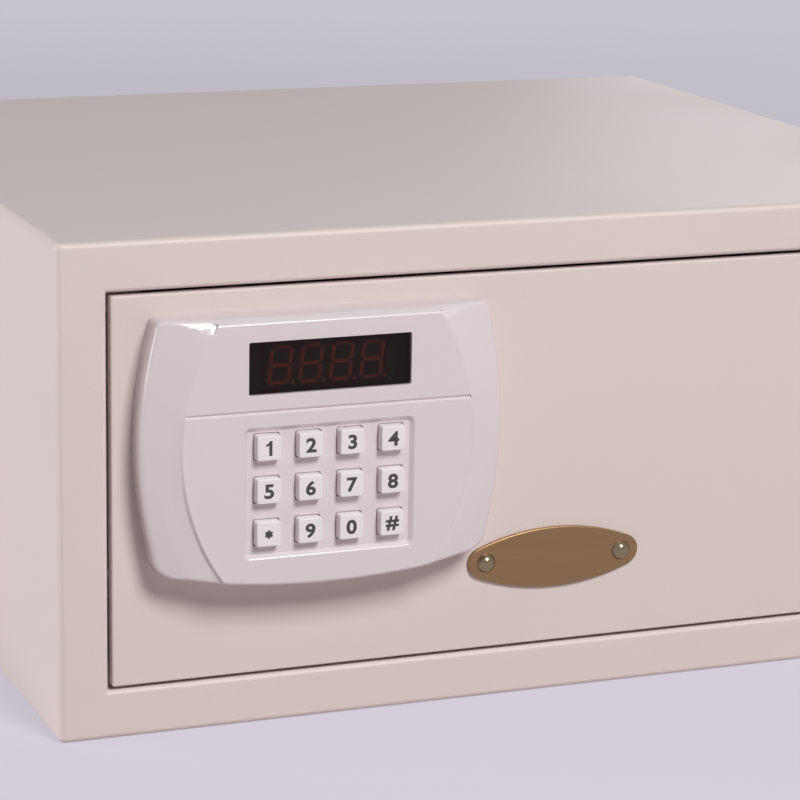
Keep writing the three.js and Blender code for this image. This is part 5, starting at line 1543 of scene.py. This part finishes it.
class SAFE_OT_finishes(bpy.types.Operator):
    """Give every solid that still shows its finish"""

    bl_idname = "safe.finishes"
    bl_label = "Finishes of the other solids"

    def execute(self, context):
        for node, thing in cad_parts.items():
            if thing.hide_render:
                continue
            if node not in SHOWN_AS_SOLIDS:
                raise ValueError(f"{node} has no finish")
            for slot in thing.material_slots:
                slot.material = finish(SHOWN_AS_SOLIDS[node])
        return {"FINISHED"}


# Stage


def seen_directly(tree):
    """1 for rays of the camera, of reflections and of transmission, and 0 for the light's own."""
    path = put(tree, "ShaderNodeLightPath").outputs
    seen = calc(tree, "MAXIMUM", path["Is Camera Ray"], path["Is Glossy Ray"])
    return calc(tree, "MAXIMUM", seen, path["Is Transmission Ray"])


def floor_finish(colours):
    """A pale floor that is a little darker in the distance and keeps the safe's shadow."""
    material, tree, shader = new_material("floor", roughness=0.9, specular_ior_level=0.0)
    place = own_place(tree)
    depth = put(tree, "ShaderNodeSeparateXYZ", {0: place}).outputs["Y"]
    far = ranged(tree, depth, 0.0, 1.0, -0.5, 1.6)
    tree.links.new(
        mixed(tree, far, srgb(212, 204, 205), srgb(196, 189, 191)), shader.inputs["Base Color"])
    reach = put(tree, "ShaderNodeVectorMath", {0: place}, operation="LENGTH").outputs["Value"]
    share = calc(tree, "MULTIPLY", seen_directly(tree), ranged(tree, reach, 0.7, 1.0, 1.0, 2.2))
    glow = put(tree, "ShaderNodeEmission", {
        "Color": mixed(tree, far, colours.floor_near, colours.floor_far)})
    both = put(tree, "ShaderNodeMixShader", {0: share, 1: shader.outputs[0], 2: glow.outputs[0]})
    tree.links.new(both.outputs[0], tree.nodes["Material Output"].inputs["Surface"])
    return material


def add_lamp(name, place, towards, power):
    """A square soft light, one metre wide, that faces a point."""
    data = bpy.data.lights.new(name, "AREA")
    data.size = 1.0
    data.energy = power
    lamp = bpy.data.objects.new(name, data)
    bpy.context.scene.collection.objects.link(lamp)
    direction = Vector(towards) - Vector(place)
    lamp.matrix_world = (
        Matrix.Translation(place) @ direction.to_track_quat("-Z", "Y").to_matrix().to_4x4())


class SAFE_OT_stage(bpy.types.Operator):
    """Set up the floor, the room light, the lamps and the camera"""

    bl_idname = "safe.stage"
    bl_label = "Floor, lights and camera"

    def execute(self, context):
        scene = context.scene
        stage, colours = scene.safe_stage, scene.safe_colours
        shape, far = bmesh.new(), 30
        shape.faces.new([shape.verts.new((x * far, y * far, 0)) for x, y in (
            (-1, -1), (1, -1), (1, 1), (-1, 1))])
        floor = as_object("floor", shape)
        floor.data.materials.append(floor_finish(colours))

        scene.world = bpy.data.worlds.new("room")
        scene.world.use_nodes = True
        tree = scene.world.node_tree
        background = tree.nodes["Background"].inputs
        seen = seen_directly(tree)
        tree.links.new(mixed(tree, seen, (1, 0.97, 0.95), colours.floor_far), background["Color"])
        tree.links.new(ranged(tree, seen, stage.sky, 1.0), background["Strength"])

        add_lamp("key_light", (0.5, -2.4, 2.3), (0, -0.1, 0.1), stage.key_power)
        add_lamp("side_light", (-2.6, 0.7, 0.35), (0, 0.1, 0.1), stage.side_power)
        add_lamp("back_light", (1.7, 2.3, 0.4), (0, 0.1, 0.1), stage.back_power)

        data = bpy.data.cameras.new("camera")
        data.sensor_width = 36
        data.lens = stage.lens
        data.clip_start = 0.05
        data.clip_end = 200
        camera = bpy.data.objects.new("camera", data)
        scene.collection.objects.link(camera)
        azimuth, elevation, roll = stage.azimuth, stage.elevation, stage.roll
        back = Vector((math.sin(azimuth) * math.cos(elevation),
                       -math.cos(azimuth) * math.cos(elevation), math.sin(elevation)))
        right = Vector((math.cos(azimuth), math.sin(azimuth), 0))
        up = back.cross(right)
        level = math.cos(roll) * right + math.sin(roll) * up
        upright = -math.sin(roll) * right + math.cos(roll) * up
        place = Vector(stage.target) + back * stage.distance
        camera.matrix_world = Matrix((
            *((level[i], upright[i], back[i], place[i]) for i in range(3)), (0, 0, 0, 1)))
        scene.camera = camera
        scene.view_settings.view_transform = "Standard"
        return {"FINISHED"}


OPERATORS = [
    SAFE_OT_case, SAFE_OT_doorway_liner, SAFE_OT_back_panel, SAFE_OT_floor_mat, SAFE_OT_door,
    SAFE_OT_keypad_housing, SAFE_OT_housing_posts, SAFE_OT_display, SAFE_OT_keys,
    SAFE_OT_cover_plate, SAFE_OT_bolts, SAFE_OT_hinge, SAFE_OT_machined_parts,
    SAFE_OT_lock_cover, SAFE_OT_small_screws, SAFE_OT_battery_lid, SAFE_OT_batteries,
    SAFE_OT_finishes, SAFE_OT_stage,
]


class SAFE_PT_panel(bpy.types.Panel):
    """The safe's sizes, colours, lights and pieces"""

    bl_label = "Laptop safe"
    bl_idname = "SAFE_PT_panel"
    bl_space_type = "VIEW_3D"
    bl_region_type = "UI"
    bl_category = "Safe"

    def draw(self, context):
        for holder in HOLDERS:
            box = self.layout.box()
            settings = getattr(context.scene, holder)
            for name in settings.__annotations__:
                box.prop(settings, name)
        for operator in OPERATORS:
            self.layout.operator(operator.bl_idname)


HOLDERS = {"safe_sizes": SafeSizes, "safe_colours": SafeColours, "safe_stage": SafeStage}
CLASSES = [*HOLDERS.values(), *OPERATORS, SAFE_PT_panel]


def register():
    for cls in CLASSES:
        bpy.utils.register_class(cls)
    for holder, group in HOLDERS.items():
        setattr(bpy.types.Scene, holder, PointerProperty(type=group))


def unregister():
    for holder in HOLDERS:
        delattr(bpy.types.Scene, holder)
    for cls in reversed(CLASSES):
        bpy.utils.unregister_class(cls)


def main():
    register()
    for operator in OPERATORS:
        group, name = operator.bl_idname.split(".")
        getattr(getattr(bpy.ops, group), name)()


if __name__ == "__main__":
    main()
